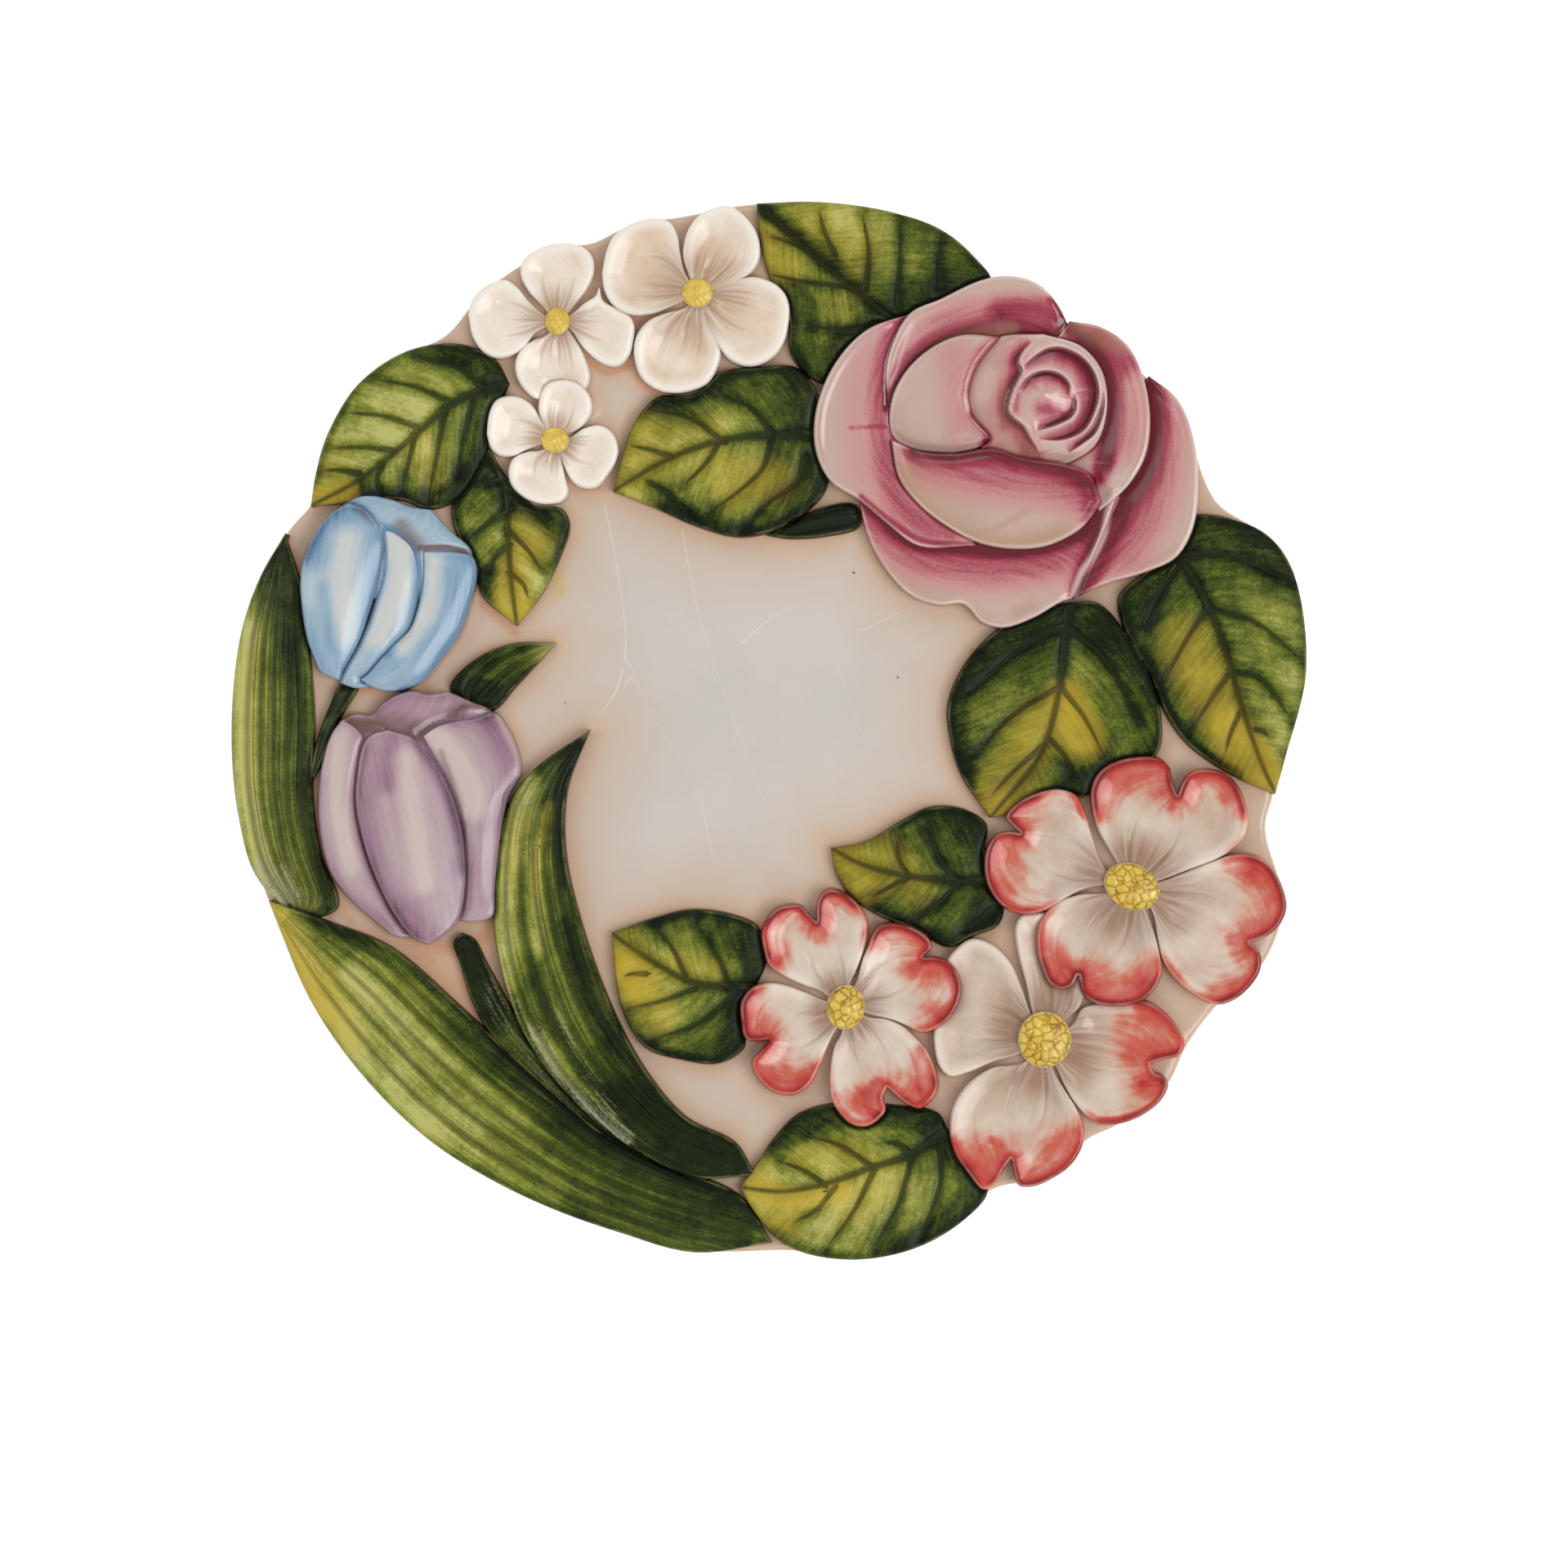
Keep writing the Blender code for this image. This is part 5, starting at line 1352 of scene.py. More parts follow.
class Glaze:
    """A glaze's material, and the nodes that it is mixed from."""

    COAT_ROUGHNESS = 0.12

    def __init__(self, name, coat, roughness, gloss=0.4):
        self.material = bpy.data.materials.new(name)
        self.material.use_nodes = True
        self.nodes = self.material.node_tree.nodes
        self.links = self.material.node_tree.links
        self.shader = self.nodes["Principled BSDF"]
        self.shader.inputs["Metallic"].default_value = 0.0
        self.shader.inputs["Roughness"].default_value = roughness
        self.shader.inputs["Specular IOR Level"].default_value = gloss
        self.shader.inputs["Coat Weight"].default_value = coat
        self.shader.inputs["Coat Roughness"].default_value = self.COAT_ROUGHNESS

    def node(self, kind, settings=None, inputs=None, output=0):
        """Any node of this kind: first its settings, then the values or links of its sockets."""
        node = self.nodes.new(kind)
        for key, value in (settings or {}).items():
            if key == "stops":
                ramp = node.color_ramp
                for number, (position, shade) in enumerate(value):
                    stop = ramp.elements[number] if number < 2 else ramp.elements.new(position)
                    stop.position, stop.color = position, shade
            else:
                setattr(node, key, value)
        for key, value in (inputs or {}).items():
            socket = node.inputs[key]
            if isinstance(value, Tone):
                self.links.new(value.socket, socket)
            elif hasattr(socket.default_value, "__len__") and isinstance(value, (int, float)):
                socket.default_value = [value] * len(socket.default_value)
            else:
                socket.default_value = value
        return Tone(self, node.outputs[output])

    def mark(self, name):
        """A value that the piece carries at its points."""
        return self.node("ShaderNodeAttribute", {"attribute_name": name}, output="Fac")

    def place(self):
        return self.node("ShaderNodeTexCoord", output="Object")

    def speckle(self, scale, vector=None, detail=3.0, roughness=0.5):
        """Soft noise around 0, with this many waves a millimetre."""
        per_metre = 1 / MM if vector is None else 1.0
        waves = {"Scale": scale * per_metre, "Detail": detail, "Roughness": roughness}
        return self.node("ShaderNodeTexNoise", {}, {"Vector": vector or self.place(), **waves}) - 0.5

    def strokes(self, across, along, detail=3.0):
        """Noise drawn out along the brush strokes of a piece, around 0."""
        grain = {"X": self.mark("grain_across") * across, "Y": self.mark("grain_along") * along}
        return self.speckle(1.0, self.node("ShaderNodeCombineXYZ", {}, grain), detail)

    def blend(self, share, first, second):
        """From the first colour to the second by this share."""
        ends = {6: shader_colour(first), 7: shader_colour(second)}
        return self.node("ShaderNodeMix", {"data_type": "RGBA"}, {0: share, **ends}, output=2)

    def ramp(self, share, *stops):
        """A colour from those that stand along the way from 0 to 1."""
        stops = [(position, shader_colour(shade)) for position, shade in stops]
        return self.node("ShaderNodeValToRGB", {"stops": stops}, {"Fac": share})

    def drawn_line(self, kind, softness):
        """How much of the nearest drawn line of this kind covers a point, from its distance and half its width."""
        near = self.mark(f"{kind}_gap").rise(1.6, 1.2)
        width = self.mark(f"{kind}_half")
        cover = ((width + softness) - self.mark(f"{kind}_side").size()) / (2 * softness)
        return cover.held() * near * width.rise(0.02, 0.12)

    def bump(self, height, strength, depth=0.3):
        """Relief too fine for the mesh: the height is a share of the depth, in millimetres."""
        return self.node("ShaderNodeBump", {}, {"Height": height, "Strength": strength, "Distance": depth * MM})

    def finish(self, paint, rough, normal):
        for tone, name in ((paint, "Base Color"), (rough, "Roughness"), (normal, "Normal")):
            self.links.new(tone.socket, self.shader.inputs[name])
        return self.material


def green_glaze(name, streaks, blotches, softness, drawn, halo):
    """Green brushed over pale clay, darker where the brush came back, with the veins or furrows drawn in, painted
    shade next to the shapes over it, and a pale edge that is partly thin glaze and partly a painted highlight.

    The streaks and blotches are how uneven it is, and softness, drawn and halo are those of the lines: how blurred
    their edges, how strong the lines, and how much darker the green beside them.
    """
    glaze = Glaze(name, coat=0.0, roughness=0.45, gloss=0.12)
    strokes = glaze.strokes(0.9, 0.12, detail=4.0)
    wide = glaze.speckle(0.09, detail=5.0, roughness=0.65)
    blotch = glaze.speckle(0.35, detail=4.0, roughness=0.6)
    fine = glaze.speckle(1.4, detail=3.0)
    depth = glaze.mark("depth")
    cover = glaze.mark("cover")
    tone = glaze.mark("tone") + strokes * streaks + wide * 0.8 + blotch * blotches + fine * 0.28
    # Darker towards the edges as the green pools there, and darker still as painted shade beside a shape that lies
    # over it
    tone = tone - depth.rise(3.0, 0.2) * (0.2 + wide * 0.5) - cover.rise(1.5, 0.0) * 0.45
    tone = tone - (glaze.mark("vein_gap").rise(2.2, 0.3) * 0.13 + glaze.mark("rib_gap").rise(2.8, 0.5) * 0.16) * halo
    paint = glaze.ramp(
        tone.held(),
        (0.0, (9, 18, 3)), (0.2, (27, 40, 8)), (0.45, (74, 87, 26)),
        (0.7, (130, 135, 52)), (1.0, (190, 188, 110)),
    )
    yellow = (glaze.mark("yellow") + strokes * 0.5 + wide * 0.4) * glaze.mark("yellow").rise(0.0, 0.25)
    paint = glaze.blend(yellow.held() * 0.7, paint, (204, 172, 54))
    bare = (glaze.mark("bare") + strokes * 1.6 + fine * 0.8).rise(0.4, 1.1)
    paint = glaze.blend(bare * 0.65, paint, (190, 186, 150))
    line = glaze.drawn_line("vein", softness).greater(glaze.drawn_line("rib", softness + 0.1))
    inked = (line * (drawn + strokes * 1.2 + wide * 0.8)).held()
    paint = glaze.blend(inked, paint, paint * 0.2 + colour(24, 34, 10)[:3])
    # A pale edge: the glaze worn thin on it, and a painted highlight
    rim = depth.rise(-0.1, 0.25) * depth.rise(0.75, 0.35) * (wide + 0.5).rise(0.42, 0.62)
    paint = glaze.blend(rim * 0.35, paint, (168, 164, 104))
    paint = glaze.blend(depth.rise(-0.6, -2.2), paint, (120, 84, 56))
    normal = glaze.bump(line * -1.0 + strokes * 0.35 + fine * 0.1, 0.7, 0.3)
    return glaze.finish(paint, 0.3 + (strokes + 0.5).held() * 0.14, normal)


def petal_glaze(name, pale, mid, tan, crease, red=False):
    """Cream glaze over a petal, brown in its creases and round the button, and red on the tips of the large ones,
    with painted shade where petals meet and a painted highlight on the red petals' edges.
    """
    glaze = Glaze(name, coat=0.25, roughness=0.36, gloss=0.3)
    strokes = glaze.strokes(0.4, 0.1)
    wide = glaze.speckle(0.11, detail=3.0)
    fine = glaze.speckle(1.2, detail=2.0)
    depth = glaze.mark("depth")
    cover = glaze.mark("cover")
    throat = glaze.mark("throat")
    rays = glaze.strokes(1.2, 0.06, detail=4.0)
    shade = throat * (1 + rays * 2.0) + strokes * 0.3 + wide * 0.3
    inner = depth.rise(0.5, 3.8) * glaze.mark("warmth") * (0.8 + wide * 1.6 + rays * 0.5)
    paint = glaze.blend(inner.held(), pale, mid)
    paint = glaze.blend(shade.held() * 0.8, paint, tan)
    paint = paint * (1.0 + fine * 0.12)
    line = glaze.drawn_line("vein", 0.4)
    paint = glaze.blend((line * 0.45).held(), paint, crease)
    if red:
        red_paint = glaze.mark("red")
        blotch = glaze.speckle(0.3, detail=4.0, roughness=0.6)
        uneven = (rays * 0.4 + wide * 0.5 + blotch * 0.4) * red_paint.rise(0.0, 0.3)
        blush = red_paint * (0.8 + depth.rise(2.6, 0.5) * 0.55) + uneven
        coral = glaze.ramp(
            blush.held(),
            (0.0, (214, 172, 150)), (0.35, (208, 114, 94)), (0.7, (192, 60, 50)),
            (1.0, (136, 22, 22)),
        )
        paint = glaze.blend(blush.rise(0.05, 0.5), paint, coral)
        # A painted highlight along the raised edge of the red petals
        edge = depth.rise(0.0, 0.25) * depth.rise(0.9, 0.5) * (wide + 0.5).rise(0.35, 0.55)
        paint = glaze.blend(edge * 0.25, paint, (230, 206, 188))
    # Painted shade, with pooled glaze, where petals meet each other and the shapes over them, and down their walls
    pooled_glaze_and_shade = (cover.rise(0.8, 0.0) * 0.3 + depth.rise(0.1, -0.8) * 0.6).held() * (0.7 + wide * 0.8)
    paint = glaze.blend(pooled_glaze_and_shade.held(), paint, crease)
    paint = glaze.blend(depth.rise(-0.8, -2.6), paint, (168, 128, 96))
    normal = glaze.bump(line * -0.8 + strokes * 0.3 + fine * 0.05, 0.6, 0.3)
    return glaze.finish(paint, 0.22 + (wide + 0.5).held() * 0.1, normal)


def button_glaze(name, cell, seams):
    """A yellow button with a pale worn rim, beaded all over: its cells a millimetre, and how dark their seams are."""
    glaze = Glaze(name, coat=0.3, roughness=0.3, gloss=0.35)
    cells = glaze.node(
        "ShaderNodeTexVoronoi", {"feature": "DISTANCE_TO_EDGE"},
        {"Vector": glaze.place(), "Scale": cell / MM, "Randomness": 0.9}, output="Distance",
    )
    wide = glaze.speckle(0.35, detail=3.0)
    fine = glaze.speckle(1.6, detail=2.0)
    height = glaze.mark("height")
    tone = cells.rise(0.16, 0.0) * seams + wide * 1.1 + fine * 0.4 + 0.2
    paint = glaze.ramp(
        tone.held(),
        (0.0, (232, 206, 92)), (0.5, (208, 166, 44)), (1.0, (136, 100, 28)),
    )
    paint = glaze.blend(height.rise(0.42, 0.2), paint, (226, 200, 150))
    paint = glaze.blend(height.rise(0.14, 0.0), paint, (120, 78, 50))
    normal = glaze.bump(cells.rise(0.0, 0.3) * seams + fine * 0.3, 0.9, 0.4)
    return glaze.finish(paint, 0.2 + (wide + 0.5).held() * 0.12, normal)


def tulip_glaze(name, pale, mid, full, deep):
    """A tulip's colour, brushed lengthwise and thinnest down the middle of each petal, with painted shade beside the
    petals over it and a pale painted highlight on its edges.
    """
    glaze = Glaze(name, coat=0.35, roughness=0.32, gloss=0.3)
    strokes = glaze.strokes(0.7, 0.05, detail=4.0)
    wide = glaze.speckle(0.08, detail=3.0)
    fine = glaze.speckle(1.8, detail=2.0)
    depth = glaze.mark("depth")
    cover = glaze.mark("cover")
    tint = glaze.mark("tint") * 0.6 + 0.36 + strokes * 0.38 + wide * 0.3 + fine * 0.14 - glaze.mark("pale") * 0.5
    # More tint towards the edges, and painted shade beside the petals over it
    tint = tint + depth.rise(3.0, 0.4) * 0.16 + cover.rise(1.5, 0.1) * 0.3
    paint = glaze.ramp(tint.held(), (0.0, pale), (0.45, mid), (0.8, full), (1.0, deep))
    # Brown strokes: partly paint, partly painted shadow in the folds
    brown = (glaze.mark("brown") * (1.35 + strokes * 0.5)).held()
    paint = glaze.blend(brown * 0.9, paint, (104, 74, 62))
    # A pale painted highlight along the edges
    rim = depth.rise(-0.1, 0.3) * depth.rise(1.0, 0.5)
    paint = glaze.blend(rim * 0.18, paint, pale)
    # Deeper painted shade where a petal over it begins
    paint = glaze.blend(cover.rise(0.9, 0.0) * 0.25, paint, deep)
    paint = glaze.blend(depth.rise(-0.5, -2.0), paint, (150, 92, 56))
    normal = glaze.bump(strokes * 0.6 + fine * 0.12, 0.6, 0.3)
    return glaze.finish(paint, 0.18 + (wide + 0.5).held() * 0.12, normal)


def rose_glaze():
    """Pale greyish pink with crimson brushed into the folds, deepened as painted shade beside the petals over them,
    with pale lips and rims that are partly painted highlights.
    """
    glaze = Glaze("rose_glaze", coat=0.35, roughness=0.3, gloss=0.35)
    strokes = glaze.strokes(0.8, 0.07, detail=4.0)
    wide = glaze.speckle(0.07, detail=3.0)
    fine = glaze.speckle(1.5, detail=3.0)
    depth = glaze.mark("depth")
    cover = glaze.mark("cover")
    blush = glaze.mark("blush")
    # Crimson in the folds beside the petals over them: the crimson paint, deepened as painted shade
    fold_crimson_and_shade = cover.rise(1.0, 0.0) * 0.55 + cover.rise(4.0, 0.3) * 0.06
    blush = blush + (strokes * 0.5 + fine * 0.3) * blush.rise(0.02, 0.4) + wide * 0.1 + fold_crimson_and_shade
    paint = glaze.ramp(
        blush.held(),
        (0.0, (201, 172, 159)), (0.3, (202, 140, 138)), (0.6, (170, 74, 90)),
        (0.85, (144, 36, 58)), (1.0, (106, 18, 36)),
    )
    # Pale lips and ridge: pale pink paint, brightened as a painted highlight
    paint = glaze.blend((glaze.mark("lip") * 0.95).held(), paint, (232, 200, 192))
    tan = (glaze.mark("tan") + wide * 0.3 * glaze.mark("tan")).held()
    paint = glaze.blend(tan * 0.8, paint, (176, 142, 108))
    # A painted highlight along the petals' edges
    rim = depth.rise(-0.1, 0.25) * depth.rise(1.0, 0.4) * (0.55 + wide * 1.4)
    paint = glaze.blend(rim.held() * (1 - blush).held(), paint, (236, 216, 204))
    paint = paint * (1.0 + fine * 0.14)
    paint = glaze.blend(depth.rise(-0.6, -2.6), paint, (150, 78, 72))
    normal = glaze.bump(strokes * 0.3 + fine * 0.08, 0.5, 0.3)
    return glaze.finish(paint, 0.15 + (wide + 0.5).held() * 0.1, normal)


def ground_glaze():
    """The cream ground: greyish in the well, tan towards the wreath, warmer and browner round the raised shapes as
    pooled glaze and painted shade, finely crazed.
    """
    glaze = Glaze("ground_glaze", coat=0.15, roughness=0.32, gloss=0.3)
    wide = glaze.speckle(0.03, detail=4.0, roughness=0.6)
    cloud = glaze.speckle(0.12, detail=3.0)
    fine = glaze.speckle(1.2, detail=2.0)
    pool = glaze.mark("pool")
    paint = glaze.blend((wide + 0.5).rise(0.35, 0.65), (206, 199, 193), (212, 203, 196))
    tan = (pool + wide * 14.0).rise(26.0, 0.5)
    paint = glaze.blend(tan * 0.75, paint, (208, 184, 160))
    # A warm halo round the raised shapes: partly pooled glaze, partly painted shade at their feet
    warm = (pool + cloud * 5.0).rise(6.5, 0.2)
    paint = glaze.blend(warm * 0.6, paint, (214, 176, 144))
    # Browner still where they meet the ground: pooled glaze and painted contact shade
    pooled_glaze_and_shade = (pool + cloud * 1.6).rise(1.2, -0.3)
    paint = glaze.blend(pooled_glaze_and_shade * 0.4, paint, (206, 152, 112))
    # Brown strokes at the feet of the relief: pooled glaze and painted contact shadow
    paint = glaze.blend((glaze.mark("brown") * (0.95 + wide + fine)).held() * 0.8, paint, (206, 142, 98))
    paint = glaze.blend((glaze.mark("smear") * (1 + fine)).held() * 0.7, paint, (206, 178, 76))
    crack = glaze.drawn_line("craze", 0.12)
    paint = glaze.blend(crack * 0.4, paint, (232, 226, 220))
    pit = glaze.mark("pit").rise(0.55, 0.25)
    paint = glaze.blend(pit, paint, (60, 44, 38))
    rim = glaze.mark("rim").rise(5.0, 0.3) * (0.1 + wide * 1.4)
    paint = glaze.blend(rim.held(), paint, (204, 168, 136))
    normal = glaze.bump(crack * -0.6 + cloud * 0.5 + fine * 0.05, 0.5, 0.3)
    return glaze.finish(paint, 0.16 + (cloud + 0.5).held() * 0.1, normal)


def foot_glaze():
    """The foot ring, where the glaze was wiped off the buff clay that the plate stands on."""
    glaze = Glaze("foot_clay", coat=0.2, roughness=0.5)
    height = glaze.node("ShaderNodeSeparateXYZ", {}, {"Vector": glaze.place()}, output="Z")
    wide = glaze.speckle(0.08, detail=4.0)
    fine = glaze.speckle(2.2, detail=3.0)
    glazed = (height / MM + wide * 1.4).rise(0.5, 1.1)
    clay = glaze.blend((wide + fine * 0.6 + 0.5).held(), (214, 186, 148), (184, 148, 110))
    paint = glaze.blend(glazed, clay, (214, 203, 192))
    return glaze.finish(paint, 0.62 - glazed * 0.4, glaze.bump(fine, 0.5, 0.15))


# ---- The dish ------------------------------------------------------------------------------------------------------


def dish_profile():
    """The dish's section from the middle of its face over the rim to the middle of its underside."""
    bend = RIM_RADIUS - EDGE_ROUND
    well = np.linspace(0.0, WREATH_START, WELL_RINGS, endpoint=False)
    wreath = np.linspace(WREATH_START, bend, FACE_RINGS)
    face = [(radius, face_height(radius)) for radius in np.concatenate([well, wreath])]
    turns = np.linspace(0.0, math.pi / 2, 6)[1:]
    top = [(RIM_RADIUS - EDGE_ROUND * (1 - math.sin(a)), RIM_HEIGHT - EDGE_ROUND * (1 - math.cos(a))) for a in turns]
    low = RIM_HEIGHT - WALL
    bottom = [(RIM_RADIUS - EDGE_ROUND * (1 - math.cos(a)), low + EDGE_ROUND * (1 - math.sin(a))) for a in turns]
    under = [(radius, face_height(radius) - WALL) for radius in np.linspace(bend, 0.0, UNDER_RINGS)[1:]]
    return face + top + bottom + under


def drawn_out(x, y, z):
    """Where a place on the turned dish goes when its rim is drawn out to the wavy outline."""
    radius = np.hypot(x, y).clip(1e-6)
    pull = smooth_step(radius, FOOT_OUTER + FOOT_SPLAY, RIM_RADIUS)
    reached = radius + pull * (rim_reach(x, y) - RIM_RADIUS)
    stretch = reached / radius
    return x * stretch, y * stretch, z + face_height(reached) - face_height(radius)


def turned(name, profile, steps):
    """A section turned once round the upright axis, as a mesh in millimetres."""
    bm = bmesh.new()
    points = [bm.verts.new((radius, 0.0, height)) for radius, height in profile]
    edges = [bm.edges.new(pair) for pair in zip(points, points[1:])]
    bmesh.ops.spin(
        bm, geom=points + edges, cent=(0, 0, 0), axis=(0, 0, 1), angle=FULL_TURN, steps=steps, use_merge=True
    )
    close_up(bm, TURNED_WELD)
    return mesh_of(bm, name)


def dish_chart(mesh, points, under):
    """The dish's own map: its face in one round, and its underside in a smaller one in the corner."""
    corners = points_at_corners(mesh)
    sizes = np.empty(len(mesh.polygons), int)
    mesh.polygons.foreach_get("loop_total", sizes)
    starts = np.concatenate([[0], np.cumsum(sizes)[:-1]])
    below = np.repeat(np.add.reduceat(under[corners].astype(float), starts) == sizes, sizes)
    radius = np.hypot(points[:, 0], points[:, 1]).clip(1e-6)
    drop = np.where(under, 0.0, (face_height(radius) - points[:, 2]).clip(0.0))
    face = points[:, :2] * ((radius + drop) / radius)[:, None] * FACE_CHART[0] + FACE_CHART[1]
    back = points[:, :2] * BACK_CHART[0] + BACK_CHART[1]
    spread_out(mesh, np.where(below[:, None], back[corners], face[corners]))


def dish():
    """The dish itself, with the cracks in its glaze and how far each place lies from the wreath."""
    mesh = turned("dish", dish_profile(), DISH_STEPS)
    points = points_of(mesh)
    turned_radius = np.hypot(points[:, 0], points[:, 1])
    under = points[:, 2] < face_height(turned_radius) - WALL / 2
    x, y, z = drawn_out(*points.T)
    points = np.column_stack([x, y, z])
    place = points[:, :2]
    on_top = ~under
    from_rim = rim_reach(x, y) - np.hypot(x, y)
    pool = np.full(len(points), POOL_UNDER)
    pool[on_top] = cover_over(place[on_top], [outline for _, outline in LAYERS], reach=POOL_REACH)
    lift = GROUND_LIFT * hump(pool.clip(0.0), GROUND_LIFT_REACH) * smooth_step(from_rim, 0.4, 3.0)
    points[:, 2] += np.where(on_top, lift, 0.0)
    for parts in [*BLOSSOMS.values(), *DOGWOODS.values()]:
        away = np.hypot(*(place - places_of(parts.centre)).T)
        reach = np.hypot(*(places_of(parts.petals[0].tip) - places_of(parts.centre))[0])
        points[:, 2] += on_top * (parts.throat - THROAT_ROOM) * hump(away, 0.55 * reach)
    cracks = [smooth_line(line) for line in CRAZE]
    side, gap, half = lines_near(place, cracks, [CRACK_WIDTHS] * len(cracks))
    gap[under] = FAR
    pit = np.min([np.hypot(*(place - spot).T) for spot in places_of(PITS)], axis=0)
    pit[under] = FAR
    give(mesh, "pool", pool)
    give(mesh, "craze_side", side)
    give(mesh, "craze_gap", gap)
    give(mesh, "craze_half", half)
    give(mesh, "pit", pit)
    give(mesh, "smear", np.where(under, 0.0, paint(place, YELLOW_SMEAR)))
    give(mesh, "brown", np.where(under, 0.0, paint(place, BROWN_POOLS_AND_SHADOWS)))
    give(mesh, "rim", from_rim)
    mesh.vertices.foreach_set("co", (points * MM).reshape(-1))
    dish_chart(mesh, points, under)
    return finish_piece("dish", mesh, ground_glaze())


def foot_ring():
    """The foot ring, with two small holes through it for a hanging wire."""
    root = FOOT_OUTER + FOOT_SPLAY
    inner_root = WELL_HEIGHT - WALL + 1.0
    outer = [(root + 0.7, face_height(root) - WALL + 1.0), (root, face_height(root) - WALL), (FOOT_OUTER + 0.3, 0.9)]
    foot = [(FOOT_OUTER, 0.35), (FOOT_OUTER - 0.5, 0.0), (FOOT_INNER + 0.5, 0.0), (FOOT_INNER, 0.35)]
    inside = FOOT_INNER - FOOT_SPLAY
    inner = [(FOOT_INNER - 0.3, 0.9), (inside, inner_root - 1.0), (inside - 0.7, inner_root)]
    mesh = turned("foot_ring", [*outer, *foot, *inner, outer[0]], FOOT_STEPS)
    mesh.transform(Matrix.Scale(MM, 4))
    ring = finish_piece("foot_ring", mesh, foot_glaze())
    for number, degrees in enumerate(HOLE_ANGLES, 1):
        bm = bmesh.new()
        bmesh.ops.create_cone(
            bm, cap_ends=True, segments=32, radius1=HOLE_DIAMETER / 2, radius2=HOLE_DIAMETER / 2, depth=16.0
        )
        angle = math.radians(degrees)
        middle = (FOOT_OUTER + FOOT_INNER) / 2
        bmesh.ops.rotate(bm, cent=(0, 0, 0), matrix=Matrix.Rotation(math.pi / 2, 3, "Y"), verts=bm.verts)
        bmesh.ops.rotate(bm, cent=(0, 0, 0), matrix=Matrix.Rotation(angle, 3, "Z"), verts=bm.verts)
        bmesh.ops.translate(bm, vec=(middle * math.cos(angle), middle * math.sin(angle), HOLE_HEIGHT), verts=bm.verts)
        bmesh.ops.scale(bm, vec=(MM, MM, MM), verts=bm.verts)
        cutter = placed("wire_hole", mesh_of(bm, "wire_hole"))
        hole = ring.modifiers.new(f"hole_{number}", "BOOLEAN")
        hole.operation = "DIFFERENCE"
        hole.solver = "EXACT"
        hole.object = cutter
        bpy.context.view_layer.update()
        cut = bpy.data.meshes.new_from_object(ring.evaluated_get(bpy.context.evaluated_depsgraph_get()))
        ring.modifiers.clear()
        ring.data = cut
        bpy.data.objects.remove(cutter)
    ring.data.shade_smooth()
    ring.data.set_sharp_from_angle(angle=math.radians(40.0))
    return ring


# ---- Leaves, blades and flowers ------------------------------------------------------------------------------------


def fullness(along):
    """How much of a raised shape's modelling shows at this share of its length: none at either end."""
    return np.sqrt(np.sin(math.pi * along).clip(0.0))


def settled(height, patch, radius, valley=0.5, reach=1.2):
    """A height over the dish's face, with a rounded edge, and drawn down beside and under the shapes over it."""
    sink = valley * hump(patch.cover.clip(0.0), reach) + (-patch.cover).clip(0.0, MOST_SUNK)
    return (height - edge_drop(patch.depth, radius) - sink - STRAY_DROP * patch.stray).clip(LOWEST_TOP)


def green_marks(name, patch, dark, light, yellow, bare):
    """The paint that a leaf or a blade carries, from the tables of the strokes in each tone."""
    place = patch.place
    shade = wash(place, dark.get(name, ()))
    # The light strokes lighten the green; some of them are painted highlights
    tone = (GREEN_TONES[name] + 0.4 * paint(place, light.get(name, ()))) * (1 - 0.85 * shade)
    return {
        "depth": patch.depth, "cover": patch.cover, "tone": tone,
        "yellow": paint(place, yellow.get(name, ())) * (1 - 0.8 * shade), "bare": paint(place, bare.get(name, ())),
    }


def leaves(material):
    """Leaves that swell on each side of a grooved rib and between their veins."""
    for name, shape in LEAVES.items():
        lines = side_lines(shape)
        patch = Patch(lines, outlines_over(name))
        rib_gap, rib_side, rib_share = nearest_on(patch.place, lines[1])
        veins = [smooth_line(vein) for vein in LEAF_VEINS.get(name, ())]
        side, gap, half = lines_near(patch.place, veins, [VEIN_WIDTHS] * len(veins))
        swell = LEAF_SWELL * (1 - patch.across**2)
        pressed = RIB_DEPTH * hump(rib_gap, RIB_REACH) + VEIN_DEPTH * hump(gap, VEIN_REACH)
        pillow = 0.3 * smooth_step(np.minimum(gap, rib_gap), 0.3, 3.5)
        height = settled(shape.height + fullness(patch.along) * (swell + pillow - pressed), patch, SOFT_EDGE)
        marks = green_marks(name, patch, LEAF_DARK, LEAF_LIGHT_AND_HIGHLIGHT, LEAF_YELLOW, {})
        marks["tone"] = marks["tone"] + 0.45 * (pillow - 0.2)
        forward = patch.along_mm - 0.8 * np.abs(patch.across_mm)
        marks.update(
            vein_side=side, vein_gap=gap, vein_half=half, rib_side=rib_gap * rib_side, rib_gap=rib_gap,
            rib_half=1.0 - 0.55 * rib_share, grain_across=forward + HALVES_APART * (patch.across > 0),
            grain_along=np.abs(patch.across_mm),
        )
        cast(name, [(patch, patch.corners(height), marks)], material)


